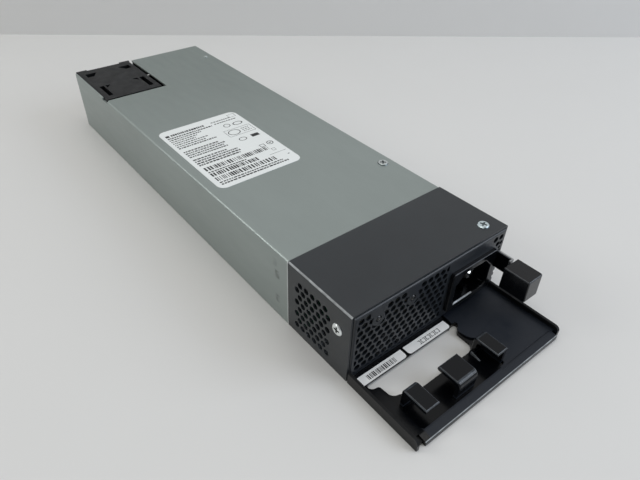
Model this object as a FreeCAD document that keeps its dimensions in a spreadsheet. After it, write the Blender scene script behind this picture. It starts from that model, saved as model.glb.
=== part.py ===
import FreeCAD, Part
import math
import os

# Hot swap server power supply, 40 mm high, one parametric document.
# Millimetres. X is the width seen from the front, Y runs from the front
# panel plane to the rear, Z is up. The origin lies on the underside, on
# the middle of the width, in the plane of the front edge of the case.
# The moulded cord retainer tray stands out in front, towards -Y.

V = FreeCAD.Vector
PL = FreeCAD.Placement
ROT = FreeCAD.Rotation

os.makedirs("parts", exist_ok=True)
doc = FreeCAD.newDocument("hot_swap_supply")

# ------------------------------------------------------------------ sizes
DIMS = [
    ("case_w", 97.6, "width of the case"),
    ("case_h", 40.1, "height of the case"),
    ("case_len", 301.0, "length of the case, front edge to rear face"),
    ("wall", 1.0, "thickness of the plated sheet"),
    ("sleeve_len", 42.0, "length of the painted front sleeve"),
    ("sleeve_wall", 0.9, "thickness of the painted sheet"),
    ("seam", 0.15, "butt gap between sleeve and grey cover"),
    ("bend_out", 1.3, "outer radius of the sheet bends"),
    ("flare_front", 1.9, "how far the sleeve's right side stands out at the front"),
    ("flare_seam", 1.4, "how far the sleeve's right side stands out at the seam"),
    ("lift", 0.2, "height of the lower edge of the side walls"),
    ("panel_gap", 0.4, "gap between sleeve and front panel"),
    ("panel_proud", 0.6, "how far the front panel stands before the sleeve"),
    ("panel_wall", 1.0, "thickness of the perforated panel"),
    ("panel_low", 2.2, "height of the panel's lower edge"),
    ("vent_pitch", 4.05, "pitch of the holes in a row, front panel"),
    ("vent_row", 3.6, "pitch of the rows, front panel"),
    ("vent_dia", 3.25, "diameter of the holes, front panel"),
    ("side_pitch", 4.27, "pitch of the holes in a row, side vent"),
    ("side_row", 3.7, "pitch of the rows, side vent"),
    ("side_dia", 3.2, "diameter of the holes, side vent"),
    ("tray_floor", 2.0, "thickness of the tray floor"),
    ("tray_front", 42.2, "reach of the tray before the case"),
    ("plate_top", 3.0, "height of the raised plate and the front bar"),
    ("rail_l", 6.2, "height of the left rail"),
    ("rail_r", 5.6, "height of the right rail"),
    ("rail_wall", 1.4, "thickness of the rails"),
    ("hook_top", 12.0, "height of the hooks"),
    ("lip", 2.0, "thickness of the hook lips"),
    ("hook_wall", 2.2, "thickness of the upright hook walls"),
    ("bezel_l", 11.7, "left edge of the inlet flange"),
    ("bezel_r", 43.6, "right edge of the inlet flange"),
    ("bezel_lo", 6.6, "lower edge of the inlet flange"),
    ("bezel_hi", 30.5, "upper edge of the inlet flange"),
    ("bezel_t", 2.0, "thickness of the inlet flange"),
    ("cav_w", 24.8, "width of the inlet cavity"),
    ("cav_h", 17.2, "height of the inlet cavity"),
    ("cav_deep", 16.0, "depth of the inlet cavity"),
    ("pin_w", 2.0, "thickness of an inlet pin"),
    ("pin_h", 4.0, "height of an inlet pin"),
    ("leaf_t", 0.8, "thickness of the latch leaf"),
    ("leaf_x", 46.7, "inner face of the latch leaf"),
    ("leaf_lo", 17.6, "lower edge of the latch leaf"),
    ("leaf_hi", 26.9, "upper edge of the latch leaf"),
    ("leaf_root", 60.0, "flex line of the latch leaf"),
    ("fan_size", 40.0, "width and height of the fan"),
    ("fan_deep", 28.0, "depth of one fan"),
    ("fan_x", -27.7, "axis of the fans, across the width"),
    ("fan_z", 20.05, "axis of the fans, height"),
    ("fan_y", 245.0, "front face of the front fan"),
    ("bore_r", 18.8, "radius of the fan bore"),
    ("tip_r", 18.2, "radius of the blade tips"),
    ("hub_r", 10.8, "radius of the rotor hub"),
    ("hub_in", 9.4, "inner radius of the hub cup"),
    ("shaft_r", 1.0, "radius of the rotor shaft"),
    ("race_r", 2.5, "outer radius of the ball bearings"),
    ("board_z", 5.0, "underside of the main board"),
    ("board_t", 1.6, "thickness of the boards"),
    ("can_r", 15.0, "radius of the bulk capacitors"),
    ("can_len", 46.0, "length of the bulk capacitors"),
    ("label_t", 0.12, "thickness of the labels"),
]
sheet = doc.addObject("Spreadsheet::Sheet", "Dims")
for i, (alias, value, text) in enumerate(DIMS):
    sheet.set("A%d" % (i + 1), text)
    sheet.set("B%d" % (i + 1), repr(value))
    sheet.setAlias("B%d" % (i + 1), alias)
doc.recompute()


# A number together with the sheet expression that it comes from.
class Q:
    def __init__(self, v, e=None):
        self.v = float(v)
        self.e = e if e is not None else "(%r)" % float(v)

    def mix(self, o, sign, f):
        o = q(o)
        return Q(f(self.v, o.v), "(%s %s %s)" % (self.e, sign, o.e))

    def __add__(self, o):
        return self.mix(o, "+", lambda a, b: a + b)

    def __radd__(self, o):
        return q(o).mix(self, "+", lambda a, b: a + b)

    def __sub__(self, o):
        return self.mix(o, "-", lambda a, b: a - b)

    def __rsub__(self, o):
        return q(o).mix(self, "-", lambda a, b: a - b)

    def __mul__(self, o):
        return self.mix(o, "*", lambda a, b: a * b)

    def __rmul__(self, o):
        return q(o).mix(self, "*", lambda a, b: a * b)

    def __truediv__(self, o):
        return self.mix(o, "/", lambda a, b: a / b)

    def __neg__(self):
        return Q(-self.v, "(0 - %s)" % self.e)


def q(x):
    return x if isinstance(x, Q) else Q(x)


D = {a: Q(getattr(sheet, a), "Dims." + a) for a, _v, _t in DIMS}
HALF = D["case_w"] / 2
TOP = D["case_h"]
REAR = D["case_len"]
T = D["wall"]


def bind(obj, prop, val):
    val = q(val)
    if "Dims." in val.e:
        obj.setExpression(prop, val.e)
    return val.v


def place(obj, x, y, z, rot=None):
    x, y, z = q(x), q(y), q(z)
    obj.Placement = PL(V(x.v, y.v, z.v), rot if rot else ROT())
    bind(obj, ".Placement.Base.x", x)
    bind(obj, ".Placement.Base.y", y)
    bind(obj, ".Placement.Base.z", z)


UNIQ = {}


def uid(name):
    UNIQ[name] = UNIQ.get(name, 0) + 1
    return name if UNIQ[name] == 1 else "%s_%d" % (name, UNIQ[name])


# ------------------------------------------------------------ primitives
def box(name, x, y, z):
    b = doc.addObject("Part::Box", uid(name))
    for prop, (a, c) in (("Length", x), ("Width", y), ("Height", z)):
        setattr(b, prop, bind(b, prop, q(c) - q(a)))
    place(b, x[0], y[0], z[0])
    return b


AXIS = {"z": ROT(), "y": ROT(V(1, 0, 0), -90), "x": ROT(V(0, 1, 0), 90)}


def cyl(name, at, r, length, axis="z"):
    c = doc.addObject("Part::Cylinder", uid(name))
    c.Radius = bind(c, "Radius", r)
    c.Height = bind(c, "Height", length)
    place(c, at[0], at[1], at[2], AXIS[axis])
    return c


def cone(name, at, r1, r2, length, axis="z"):
    c = doc.addObject("Part::Cone", uid(name))
    c.Radius1 = bind(c, "Radius1", r1)
    c.Radius2 = bind(c, "Radius2", r2)
    c.Height = bind(c, "Height", length)
    place(c, at[0], at[1], at[2], AXIS[axis])
    return c


def fuse(name, objs):
    f = doc.addObject("Part::MultiFuse", uid(name))
    f.Shapes = objs
    f.Refine = True
    return f


def cut(name, base, tools):
    tool = tools[0] if len(tools) == 1 else comp(name + "_tools", tools)
    c = doc.addObject("Part::Cut", uid(name))
    c.Base = base
    c.Tool = tool
    c.Refine = True
    return c


def comp(name, objs):
    c = doc.addObject("Part::Compound", uid(name))
    c.Links = objs
    return c


def shape(name, shp):
    f = doc.addObject("Part::Feature", uid(name))
    f.Shape = shp
    return f


def edges_of(obj, test):
    doc.recompute()
    out = []
    for i, e in enumerate(obj.Shape.Edges):
        c = e.CenterOfMass
        b = e.BoundBox
        if test(c, b, e):
            out.append(i + 1)
    return out


def soften(name, obj, r, test):
    ids = edges_of(obj, test)
    if not ids:
        raise RuntimeError("no edge to round on " + name)
    f = doc.addObject("Part::Fillet", uid(name))
    f.Base = obj
    f.Edges = [(i, r, r) for i in ids]
    return f


def bevel(name, obj, r, test):
    ids = edges_of(obj, test)
    if not ids:
        raise RuntimeError("no edge to bevel on " + name)
    f = doc.addObject("Part::Chamfer", uid(name))
    f.Base = obj
    f.Edges = [(i, r, r) for i in ids]
    return f


def along(b, axis, least=0.0):
    dx, dy, dz = b.XLength, b.YLength, b.ZLength
    d = {"x": dx, "y": dy, "z": dz}
    rest = [d[k] for k in "xyz" if k != axis]
    return d[axis] > least and max(rest) < 0.01


# --------------------------------------------------------- sketched bodies
def body(name):
    return doc.addObject("PartDesign::Body", uid(name))


def origin_plane(b, role):
    for f in b.Origin.OriginFeatures:
        if f.Role == role:
            return f


# XY: sketch axes X, Y. XZ: sketch axes X, Z, its normal is -Y.
# YZ: sketch axes Y, Z. off is measured along the global axis.
FACING_MINUS = set()


def sketch(b, name, role, u=0, v=0, off=0):
    s = b.newObject("Sketcher::SketchObject", uid(name))
    if role == "XZ_Plane":
        FACING_MINUS.add(s.Name)
    s.AttachmentSupport = [(origin_plane(b, role), "")]
    s.MapMode = "FlatFace"
    w = -q(off) if role == "XZ_Plane" else q(off)
    u, v = q(u), q(v)
    s.AttachmentOffset = PL(V(u.v, v.v, w.v), ROT())
    bind(s, ".AttachmentOffset.Base.x", u)
    bind(s, ".AttachmentOffset.Base.y", v)
    bind(s, ".AttachmentOffset.Base.z", w)
    return s


def datum(s, con, val):
    val = q(val)
    n = s.addConstraint(con)
    if "Dims." in val.e:
        s.setExpression("Constraints[%d]" % n, val.e)


def lines(s, pts, base=0):
    k = len(pts)
    first = s.GeometryCount
    for i in range(k):
        a, c = pts[i], pts[(i + 1) % k]
        s.addGeometry(Part.LineSegment(V(a[0], a[1], 0), V(c[0], c[1], 0)), False)
    import Sketcher
    for i in range(k):
        s.addConstraint(Sketcher.Constraint("Coincident", first + i, 2, first + (i + 1) % k, 1))
    return first


# A rectangle whose corner is the sketch's own origin, sizes bound.
def rect(b, name, role, u, v, off):
    import Sketcher
    s = sketch(b, name, role, u[0], v[0], off)
    w, h = q(u[1]) - q(u[0]), q(v[1]) - q(v[0])
    g = lines(s, [(0, 0), (w.v, 0), (w.v, h.v), (0, h.v)])
    s.addConstraint(Sketcher.Constraint("Coincident", g, 1, -1, 1))
    s.addConstraint(Sketcher.Constraint("Horizontal", g))
    s.addConstraint(Sketcher.Constraint("Horizontal", g + 2))
    s.addConstraint(Sketcher.Constraint("Vertical", g + 1))
    s.addConstraint(Sketcher.Constraint("Vertical", g + 3))
    datum(s, Sketcher.Constraint("DistanceX", g, 1, g, 2, w.v), w)
    datum(s, Sketcher.Constraint("DistanceY", g + 1, 1, g + 1, 2, h.v), h)
    return s


# A polygon, every corner held by its distance from the lowest corner.
def poly(b, name, role, pts, off):
    import Sketcher
    pts = [(q(a), q(c)) for a, c in pts]
    u0 = min((p[0] for p in pts), key=lambda z: z.v)
    v0 = min((p[1] for p in pts), key=lambda z: z.v)
    s = sketch(b, name, role, u0, v0, off)
    loc = [(p[0] - u0, p[1] - v0) for p in pts]
    g = lines(s, [(p[0].v, p[1].v) for p in loc])
    for i, (a, c) in enumerate(loc):
        if a.v > 1e-6:
            datum(s, Sketcher.Constraint("DistanceX", -1, 1, g + i, 1, a.v), a)
        else:
            s.addConstraint(Sketcher.Constraint("PointOnObject", g + i, 1, -2))
        if c.v > 1e-6:
            datum(s, Sketcher.Constraint("DistanceY", -1, 1, g + i, 1, c.v), c)
        else:
            s.addConstraint(Sketcher.Constraint("PointOnObject", g + i, 1, -1))
    return s


# One circle on the sketch's own origin, radius bound.
def ring(b, name, role, u, v, off, r):
    import Sketcher
    s = sketch(b, name, role, u, v, off)
    r = q(r)
    g = s.addGeometry(Part.Circle(V(0, 0, 0), V(0, 0, 1), r.v), False)
    s.addConstraint(Sketcher.Constraint("Coincident", g, 3, -1, 1))
    datum(s, Sketcher.Constraint("Radius", g, r.v), r)
    return s


# Pads and pockets run along the global axis of their sketch, towards plus
# or minus.
def pad(b, s, length, plus=True, name="pad"):
    f = b.newObject("PartDesign::Pad", uid(b.Name + "_" + name))
    f.Profile = s
    f.Length = bind(f, "Length", length)
    f.Reversed = plus == (s.Name in FACING_MINUS)
    s.Visibility = False
    return f


def pocket(b, s, length, plus=True, name="pocket"):
    doc.recompute()
    before = b.Shape.Volume
    f = b.newObject("PartDesign::Pocket", uid(b.Name + "_" + name))
    f.Profile = s
    f.Length = bind(f, "Length", length)
    f.Reversed = plus != (s.Name in FACING_MINUS)
    doc.recompute()
    if not b.Shape.Volume < before - 1e-6:
        raise RuntimeError("pocket cut nothing: " + f.Name)
    return f


def dress(b, kind, size, test, name=None):
    doc.recompute()
    tip = b.Tip
    names = []
    for i, e in enumerate(tip.Shape.Edges):
        if test(e.CenterOfMass, e.BoundBox, e):
            names.append("Edge%d" % (i + 1))
    if not names:
        raise RuntimeError("no edge to dress on " + b.Name)
    f = b.newObject("PartDesign::" + kind, uid(b.Name + "_" + (name or kind.lower())))
    f.Base = (tip, names)
    prop = "Radius" if kind == "Fillet" else "Size"
    setattr(f, prop, bind(f, prop, size))
    doc.recompute()
    if "Invalid" in f.State or "Error" in f.State or f.Shape.isNull():
        raise RuntimeError("dress failed: " + f.Name)
    return f


NODES = []


def node(name, obj):
    obj.Label = name
    NODES.append((name, obj))
    return obj


# The same piece at several places, one solid each, in one node.
def copies(name, master, places):
    doc.recompute()
    shp = master.Shape
    out = []
    for p in places:
        c = shp.copy()
        c.Placement = p.multiply(shp.Placement)
        out.append(c)
    return shape(name, Part.makeCompound(out))


def near(a, c, tol=0.02):
    return abs(a - c) < tol


# =================================================================== case
# Base: floor, right side wall, its inward lip at the top, the low inner
# lip on the left and the rear wall of the connector half, in one sheet.
base = body("case_base")
pad(base, rect(base, "base_floor", "XY_Plane", (-HALF + T, HALF), (0.0, REAR), 0), T)
pad(base, rect(base, "base_right", "XY_Plane", (HALF - T, HALF),
               (D["sleeve_len"] + D["seam"], REAR), 0), TOP - T)
pad(base, rect(base, "base_lip", "XY_Plane", (HALF - 9.0, HALF - T),
               (66.0, 236.0), TOP - 2 * T), T)
pad(base, rect(base, "base_left", "XY_Plane", (-HALF + T, -HALF + 2 * T),
               (46.0, 236.0), 0), 9.0)
pad(base, rect(base, "base_rear", "XZ_Plane", (-5.6, HALF), (0.0, TOP - T), REAR), T,
    plus=False)
# opening for the fans in the floor
pocket(base, rect(base, "base_fan_gap", "XY_Plane", (-HALF, -5.8), (244.6, REAR + 1), 0), T,
       plus=True, name="fan_gap")
# tab that the fans are held against
pad(base, rect(base, "base_fan_foot", "XY_Plane", (-7.7, -5.5), (252.0, 268.0), 0), T)
pad(base, rect(base, "base_fan_tab", "XY_Plane", (-7.7, -6.8), (252.0, 268.0), 0), 24.0)
# opening for the output connector in the rear wall
pocket(base, rect(base, "base_plug_gap", "XZ_Plane", (0.8, 45.2), (8.0, 27.0), REAR + 0.5), 3.0,
       plus=False, name="plug_gap")
# the outer bend of floor and right wall
dress(base, "Fillet", 0.8, lambda c, b, e: along(b, "y", 200) and near(c.x, 48.8) and near(c.z, 0))
BASE_HOLES = [(30.0, 6.5), (-30.0, 6.5), (0.0, 6.5)]
POSTS = [(-40.5, 40.0), (36.0, 40.0), (-40.5, 135.0), (41.8, 135.0), (-40.5, 231.0), (40.5, 280.0)]
base_cut = cut("case_base", base,
               [cone("base_sink", (x, y, 0), 2.75, 1.55, 1.0) for x, y in BASE_HOLES]
               + [cyl("base_lid_bore", (42.5, 77.1, 36.0), 1.3, 4.0)]
               + [cyl("base_root_bore", (46.0, y, 22.0), 1.05, 4.0, "x") for y in (65.0, 72.0)])
node("case_base", base_cut)

# Cover: top and left side wall, one bend along the upper left edge.
cover = body("case_cover")
y0 = D["sleeve_len"] + D["seam"]
pad(cover, poly(cover, "cover_profile", "XZ_Plane",
                [(-HALF, D["lift"]), (-HALF + T, D["lift"]), (-HALF + T, TOP - T), (HALF, TOP - T),
                 (HALF, TOP), (-HALF, TOP)], y0), REAR - y0, plus=True)
dress(cover, "Fillet", D["bend_out"],
      lambda c, b, e: along(b, "y", 200) and near(c.x, -48.8) and near(c.z, 40.1))
# the corner over the fans is open, with a relief notch where the bend ends
pocket(cover, rect(cover, "cover_fan_gap", "XY_Plane", (-HALF + T, -5.8), (243.2, REAR + 1), 30.0),
       12.0, plus=True, name="fan_gap")
pocket(cover, rect(cover, "cover_notch", "XY_Plane", (-HALF - 1, -HALF + T), (242.4, 250.7), 38.2),
       4.0, plus=True, name="notch")
pocket(cover, rect(cover, "cover_trim", "XY_Plane", (-HALF - 1, -HALF + T), (250.6, REAR + 1), 39.75),
       4.0, plus=True, name="trim")
cover_cut = cut("case_cover", cover,
                [cyl("cover_bore", (42.5, 77.1, 38.0), 1.6, 3.0),
                 cyl("cover_rivet_bore", (43.5, 274.9, 38.0), 0.95, 3.0)])
node("case_cover", cover_cut)

# Painted front sleeve: left, top and right, with the vent in the left
# wall, the slot for the latch catch in the right and two screw holes.
# Its right side stands a little out from the case and flares forward.
ST = D["sleeve_wall"]
SL = D["sleeve_len"]
RF, RS = HALF + D["flare_front"], HALF + D["flare_seam"]
sleeve = body("front_sleeve")
pad(sleeve, poly(sleeve, "sleeve_top", "XY_Plane",
                 [(-HALF, 0.0), (RF, 0.0), (RS, SL), (-HALF, SL)], TOP - ST), ST)
pad(sleeve, rect(sleeve, "sleeve_left", "XY_Plane", (-HALF, -HALF + ST), (0.0, SL), D["lift"]),
    TOP - ST - D["lift"])
pad(sleeve, poly(sleeve, "sleeve_right", "XY_Plane",
                 [(RF - ST, 0.0), (RF, 0.0), (RS, SL), (RS - ST, SL)], D["lift"]), TOP - ST - D["lift"])
dress(sleeve, "Fillet", D["bend_out"],
      lambda c, b, e: along(b, "y", 30) and near(c.x, -48.8) and near(c.z, 40.1))
dress(sleeve, "Fillet", 0.8,
      lambda c, b, e: b.YLength > 30 and c.x > 50.0 and near(c.z, 40.1), "right_bend")
dress(sleeve, "Fillet", 0.4,
      lambda c, b, e: b.YLength > 30 and near(c.z, 39.2), "inner")
pocket(sleeve, rect(sleeve, "sleeve_catch", "YZ_Plane", (6.2, 18.6), (18.2, 25.7), 45.0), 8.0,
       plus=True, name="catch")
side_r = D["side_dia"].v / 2
vent = []
for row in range(8):
    n = 5 if row % 2 == 0 else 6
    y_first = 35.3 - (D["side_pitch"].v / 2 if n == 5 else 0.0)
    for k in range(n):
        vent.append(Part.makeCylinder(side_r, 3.0, V(-50.0, y_first - k * D["side_pitch"].v,
                                                     31.6 - row * D["side_row"].v + 0.4), V(1, 0, 0)))
vents = shape("sleeve_vent_drills", Part.makeCompound(vent))
sleeve_cut = cut("front_sleeve", sleeve,
                 [vents, cyl("sleeve_top_bore", (41.0, 7.2, 38.0), 1.6, 3.0),
                  cyl("sleeve_left_bore", (-50.0, 7.7, 26.9), 1.6, 3.0, "x"),
                  cyl("sleeve_right_bore", (48.0, 7.7, 33.2), 1.6, 4.0, "x")]
                 + [cyl("sleeve_nick", (48.0, 0.0, z), 1.0, 4.0, "x") for z in (7.2, 10.6, 14.0)])
node("front_sleeve", sleeve_cut)

# Front panel: a shallow folded pan with returns, set inside the sleeve.
PG = D["panel_gap"]
PT = D["panel_wall"]
px = HALF - ST - PG
pr = RF - ST - 0.35
pz = TOP - ST - PG
pf = -D["panel_proud"]
panel = body("front_panel")
pad(panel, rect(panel, "panel_face", "XZ_Plane", (-px, pr), (D["panel_low"], pz), pf), PT, plus=True)
pad(panel, rect(panel, "panel_top", "XZ_Plane", (-px, pr), (pz - PT, pz), pf + PT), 11.0, plus=True)
pad(panel, rect(panel, "panel_left", "XZ_Plane", (-px, -px + PT), (D["panel_low"], pz - PT), pf + PT),
    11.5, plus=True)
pad(panel, rect(panel, "panel_right", "XZ_Plane", (pr - PT, pr), (29.4, pz - PT), pf + PT),
    11.0, plus=True)
pad(panel, rect(panel, "panel_sill", "XZ_Plane", (-px + PT, 44.0), (D["panel_low"], D["panel_low"] + PT),
                pf + PT), 11.0, plus=True)
dress(panel, "Fillet", 0.95,
      lambda c, b, e: near(c.y, -0.6) and ((along(b, "x", 60) and near(c.z, 38.8))
                                           or (along(b, "z", 20) and (near(c.x, -47.5) or c.x > 49.0))))
# opening for the inlet and slot for the latch
pocket(panel, rect(panel, "panel_inlet", "XZ_Plane", (14.0, 41.3), (8.9, 28.2), -2.0), 6.0,
       plus=True, name="inlet")
pocket(panel, rect(panel, "panel_latch", "XZ_Plane", (44.2, 52.0), (15.6, 27.5), -2.0), 8.0,
       plus=True, name="latch")
LEDS = [(-33.7, 30.6), (-13.2, 30.4)]
vr = D["vent_dia"].v / 2
vp = D["vent_pitch"].v
vz = D["vent_row"].v
drills = []
for row in range(10):
    z = 35.2 - row * vz
    x = -47.75 + (vp if row % 2 == 0 else vp / 2)
    while x < 10.0:
        drills.append(Part.makeCylinder(vr, 3.0, V(x, -1.5, z), V(0, 1, 0)))
        x += vp
grille = Part.makeCompound(drills)
field = Part.makeBox(9.2 + 45.7, 3.4, 37.2 - 3.55, V(-45.7, -1.7, 3.55))
blank = [Part.makeCylinder(3.6, 5.0, V(x, -2.5, z), V(0, 1, 0)) for x, z in LEDS]
blank.append(Part.makeBox(8.6, 5.0, 4.4, V(-38.6, -2.5, 33.0)))
blank.append(Part.makeBox(7.8, 5.0, 4.4, V(-17.4, -2.5, 33.0)))
grille = grille.common(field).cut(Part.makeCompound(blank))
keep = [s for s in grille.Solids if s.Volume > 1.2]
for x, z, r in ((42.2, 35.4, 1.65), (46.4, 35.3, 1.55), (44.8, 31.75, 1.45), (47.5, 31.5, 1.1),
                (46.9, 28.95, 0.95)):
    keep.append(Part.makeCylinder(r, 3.0, V(x, -1.5, z), V(0, 1, 0)))
grille = shape("panel_drills", Part.makeCompound(keep))
panel_cut = cut("front_panel", panel,
                [grille]
                + [cyl("panel_led_bore", (x, -2.0, z), 1.65, 4.0, "y") for x, z in LEDS]
                + [cyl("panel_sill_bore", (x, y, 2.0), 1.3, 1.6) for x, y in BASE_HOLES]
                + [cyl("panel_top_bore", (41.0, 7.2, 37.0), 1.3, 3.0),
                   cyl("panel_left_bore", (-48.5, 7.7, 26.9), 1.3, 3.0, "x"),
                   cyl("panel_right_bore", (47.4, 7.7, 33.2), 1.3, 3.0, "x")])
node("front_panel", panel_cut)

# ==================================================== cord retainer tray
FL = D["tray_floor"]
tray = body("cord_retainer")
hole = [(-44.2, -7.85), (9.9, -7.75), (11.2, -7.25), (13.6, -7.0), (14.3, -7.8), (14.1, -8.9),
        (13.2, -9.9), (11.6, -10.8), (10.6, -12.0), (10.4, -14.1), (10.3, -19.4), (9.8, -20.6),
        (8.6, -21.6), (7.0, -22.4), (5.2, -23.0), (-30.8, -23.1), (-32.4, -22.5), (-35.0, -20.2),
        (-36.2, -19.7), (-37.8, -19.3), (-39.0, -18.4), (-39.7, -17.2), (-40.15, -12.3), (-40.8, -11.55),
        (-42.8, -11.25), (-43.8, -10.6), (-44.35, -9.7), (-44.4, -8.3)]
pad(tray, rect(tray, "tray_floor", "XY_Plane", (-HALF, HALF), (-40.6, -0.75), 0), FL)
pad(tray, poly(tray, "tray_plate", "XY_Plane",
               [(12.8, -0.75), (HALF - 1.3, -0.75), (HALF - 1.3, -39.0), (9.0, -39.0), (9.0, -37.1),
                (11.0, -37.1), (12.6, -36.6), (12.95, -35.6), (13.0, -23.5), (14.0, -19.9),
                (13.2, -19.1), (12.3, -18.4), (11.4, -16.5), (11.1, -14.6), (10.9, -13.0),
                (10.9, -11.2), (12.2, -6.0)], FL),
    D["plate_top"] - FL)
# raised strip between the left rail and the cord channel
pad(tray, poly(tray, "tray_strip", "XY_Plane",
               [(-HALF + 1.3, -12.4), (-43.4, -12.4), (-41.9, -13.0), (-41.5, -14.0), (-41.5, -36.2),
                (-40.4, -37.9), (-HALF + 1.3, -37.9)], FL), D["plate_top"] - FL)
# front bar, its top falling a little towards the front, its front edge rounded
pad(tray, poly(tray, "tray_bar", "YZ_Plane",
               [(-37.65, 0.0), (-37.65, D["plate_top"]), (-38.4, D["plate_top"]), (-D["tray_front"], 2.4),
                (-D["tray_front"], 0.0)], -44.2), 90.2)
dress(tray, "Fillet", 0.6, lambda c, b, e: along(b, "x", 80) and near(c.y, -42.2, 0.05)
      and near(c.z, 2.4, 0.05), "bar_front")
pad(tray, rect(tray, "tray_rail_l", "XY_Plane", (-HALF, -HALF + D["rail_wall"]), (-41.6, -0.75), 0),
    D["rail_l"])
pad(tray, rect(tray, "tray_rail_r", "XY_Plane", (HALF - D["rail_wall"], HALF), (-41.2, -0.75), 0),
    D["rail_r"])
pad(tray, rect(tray, "tray_tongue", "XY_Plane", (-42.0, 42.0), (-0.76, 11.0), 1.08), FL - 1.08)
pocket(tray, poly(tray, "tray_hole", "XY_Plane", hole, 0.0), D["plate_top"] + 0.5, plus=True, name="hole")
# crease between the plate and the front bar
pocket(tray, rect(tray, "tray_crease", "XY_Plane", (12.95, 44.6), (-38.35, -37.95), D["plate_top"]), 0.35,
       plus=False, name="crease")
# the ledge behind the cut-out is thin, hollow from below
pocket(tray, rect(tray, "tray_ledge_gap", "XY_Plane", (-43.2, 9.6), (-7.9, -3.0), 0.0), 1.2, plus=True,
       name="ledge_gap")
# rounded front corners of the rails
dress(tray, "Fillet", 2.6, lambda c, b, e: along(b, "x", 1) and b.XLength < 2.5
      and (near(c.y, -41.6) and near(c.z, 6.2) or near(c.y, -41.2) and near(c.z, 5.6)), "rail_nose")


# A hook: upright wall and lip, profile in the YZ plane. The one whose wall
# stands at the front has a small step below its nose.
def hook(name, x, wall_front, y_back, y_front, r_out):
    hb = body(name)
    lw = D["hook_wall"]
    if wall_front:
        pts = [(y_front + 0.35, FL - 0.1), (y_front + lw, FL - 0.1), (y_front + lw, D["hook_top"] - D["lip"]),
               (y_back, D["hook_top"] - D["lip"]), (y_back, D["hook_top"]), (y_front, D["hook_top"]),
               (y_front, 7.8), (y_front + 0.35, 7.8)]
        ye, yi = y_front, y_front + 2.2
    else:
        pts = [(y_back, FL - 0.1), (y_back, D["hook_top"]), (y_front, D["hook_top"]),
               (y_front, D["hook_top"] - D["lip"]), (y_back - lw, D["hook_top"] - D["lip"]),
               (y_back - lw, FL - 0.1)]
        ye, yi = y_back, y_back - 2.2
    pad(hb, poly(hb, name + "_profile", "YZ_Plane", pts, x[0]), q(x[1]) - q(x[0]))
    dress(hb, "Fillet", r_out, lambda c, b, e: along(b, "x", 4) and near(c.y, ye, 0.05)
          and near(c.z, 12.0), "outer")
    dress(hb, "Fillet", 1.4, lambda c, b, e: along(b, "x", 4) and near(c.y, yi, 0.05)
          and near(c.z, 10.0), "inner")
    dress(hb, "Fillet", 0.75, lambda c, b, e: along(b, "y", 4) and near(c.z, 12.0)
          or (along(b, "x", 4) and c.z > 9.9 and near(c.y, y_back if wall_front else y_front, 0.05)),
          "rim")
    return hb


hook_a = hook("hook_a", (-39.6, -31.7), False, -22.9, -36.2, 2.0)
hook_b = hook("hook_b", (-19.2, -7.2), True, -24.0, -36.4, 2.8)
hook_c = hook("hook_c", (5.9, 13.0), False, -22.9, -35.9, 2.0)
side = body("hook_c_side")
pad(side, rect(side, "hook_c_side_face", "YZ_Plane", (-35.6, -25.0), (FL - 0.1, D["hook_top"] - 1.0), 11.2),
    1.65)
rib = body("tray_rib")
pad(rib, poly(rib, "rib_profile", "YZ_Plane", [(-23.3, 1.9), (-23.3, 3.6), (-24.2, 3.6), (-30.4, 1.9)], 4.8), 0.8)
tray_one = fuse("tray_one", [tray, hook_a, hook_b, hook_c, side, rib])
tray_cut = cut("cord_retainer", tray_one,
               [cyl("tray_bore", (x, y, 0.5), 1.6, 2.0) for x, y in BASE_HOLES])
node("cord_retainer", tray_cut)

# Countersunk screws from below: floor, tongue, then the panel's sill.
csk = body("csk_master")
s = poly(csk, "csk_profile", "XZ_Plane", [(0, 0.05), (2.6, 0.05), (1.45, 0.95), (1.2, 1.2),
                                        (1.2, 3.9), (0, 3.9)], 0)
f = csk.newObject("PartDesign::Revolution", "csk_turn")
f.Profile = s
f.ReferenceAxis = (s, ["V_Axis"])
f.Angle = 360
doc.recompute()
pocket(csk, rect(csk, "csk_cross_a", "XY_Plane", (-1.3, 1.3), (-0.25, 0.25), 0.0), 0.8, plus=True)
pocket(csk, rect(csk, "csk_cross_b", "XY_Plane", (-0.25, 0.25), (-1.3, 1.3), 0.0), 0.8, plus=True)
node("tray_screws", copies("tray_screws", csk, [PL(V(x, y, 0), ROT()) for x, y in BASE_HOLES]))

# ==================================================================== inlet
BL, BR_, BO, BH = D["bezel_l"], D["bezel_r"], D["bezel_lo"], D["bezel_hi"]
icx = (BL + BR_) / 2
icz = (BO + BH) / 2
BT = D["bezel_t"]
inlet = body("inlet_shell")
pad(inlet, rect(inlet, "inlet_flange", "XZ_Plane", (BL, BR_), (BO, BH), pf), BT, plus=False)
pad(inlet, rect(inlet, "inlet_barrel", "XZ_Plane", (icx - 13.4, icx + 13.4), (icz - 9.4, icz + 9.4), pf),
    19.6, plus=True)
dress(inlet, "Fillet", 1.2, lambda c, b, e: along(b, "y", 1.5) and b.YLength < 2.2
      and abs(c.x - 27.65) > 14, "corners")
dress(inlet, "Chamfer", 4.6, lambda c, b, e: along(b, "y", 15) and c.z > 25, "barrel_top")
cw, ch = D["cav_w"] / 2, D["cav_h"] / 2
pocket(inlet, poly(inlet, "inlet_cavity", "XZ_Plane",
                   [(icx - cw, icz - ch), (icx + cw, icz - ch), (icx + cw, icz + ch - 5.0),
                    (icx + cw - 5.0, icz + ch), (icx - cw + 5.0, icz + ch), (icx - cw, icz + ch - 5.0)],
                   pf - BT), D["cav_deep"], plus=True, name="cavity")
dress(inlet, "Fillet", 2.2, lambda c, b, e: along(b, "y", 12) and b.YLength < 17
      and near(c.z, 18.55 - 8.6, 0.05), "cavity_low")
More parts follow.
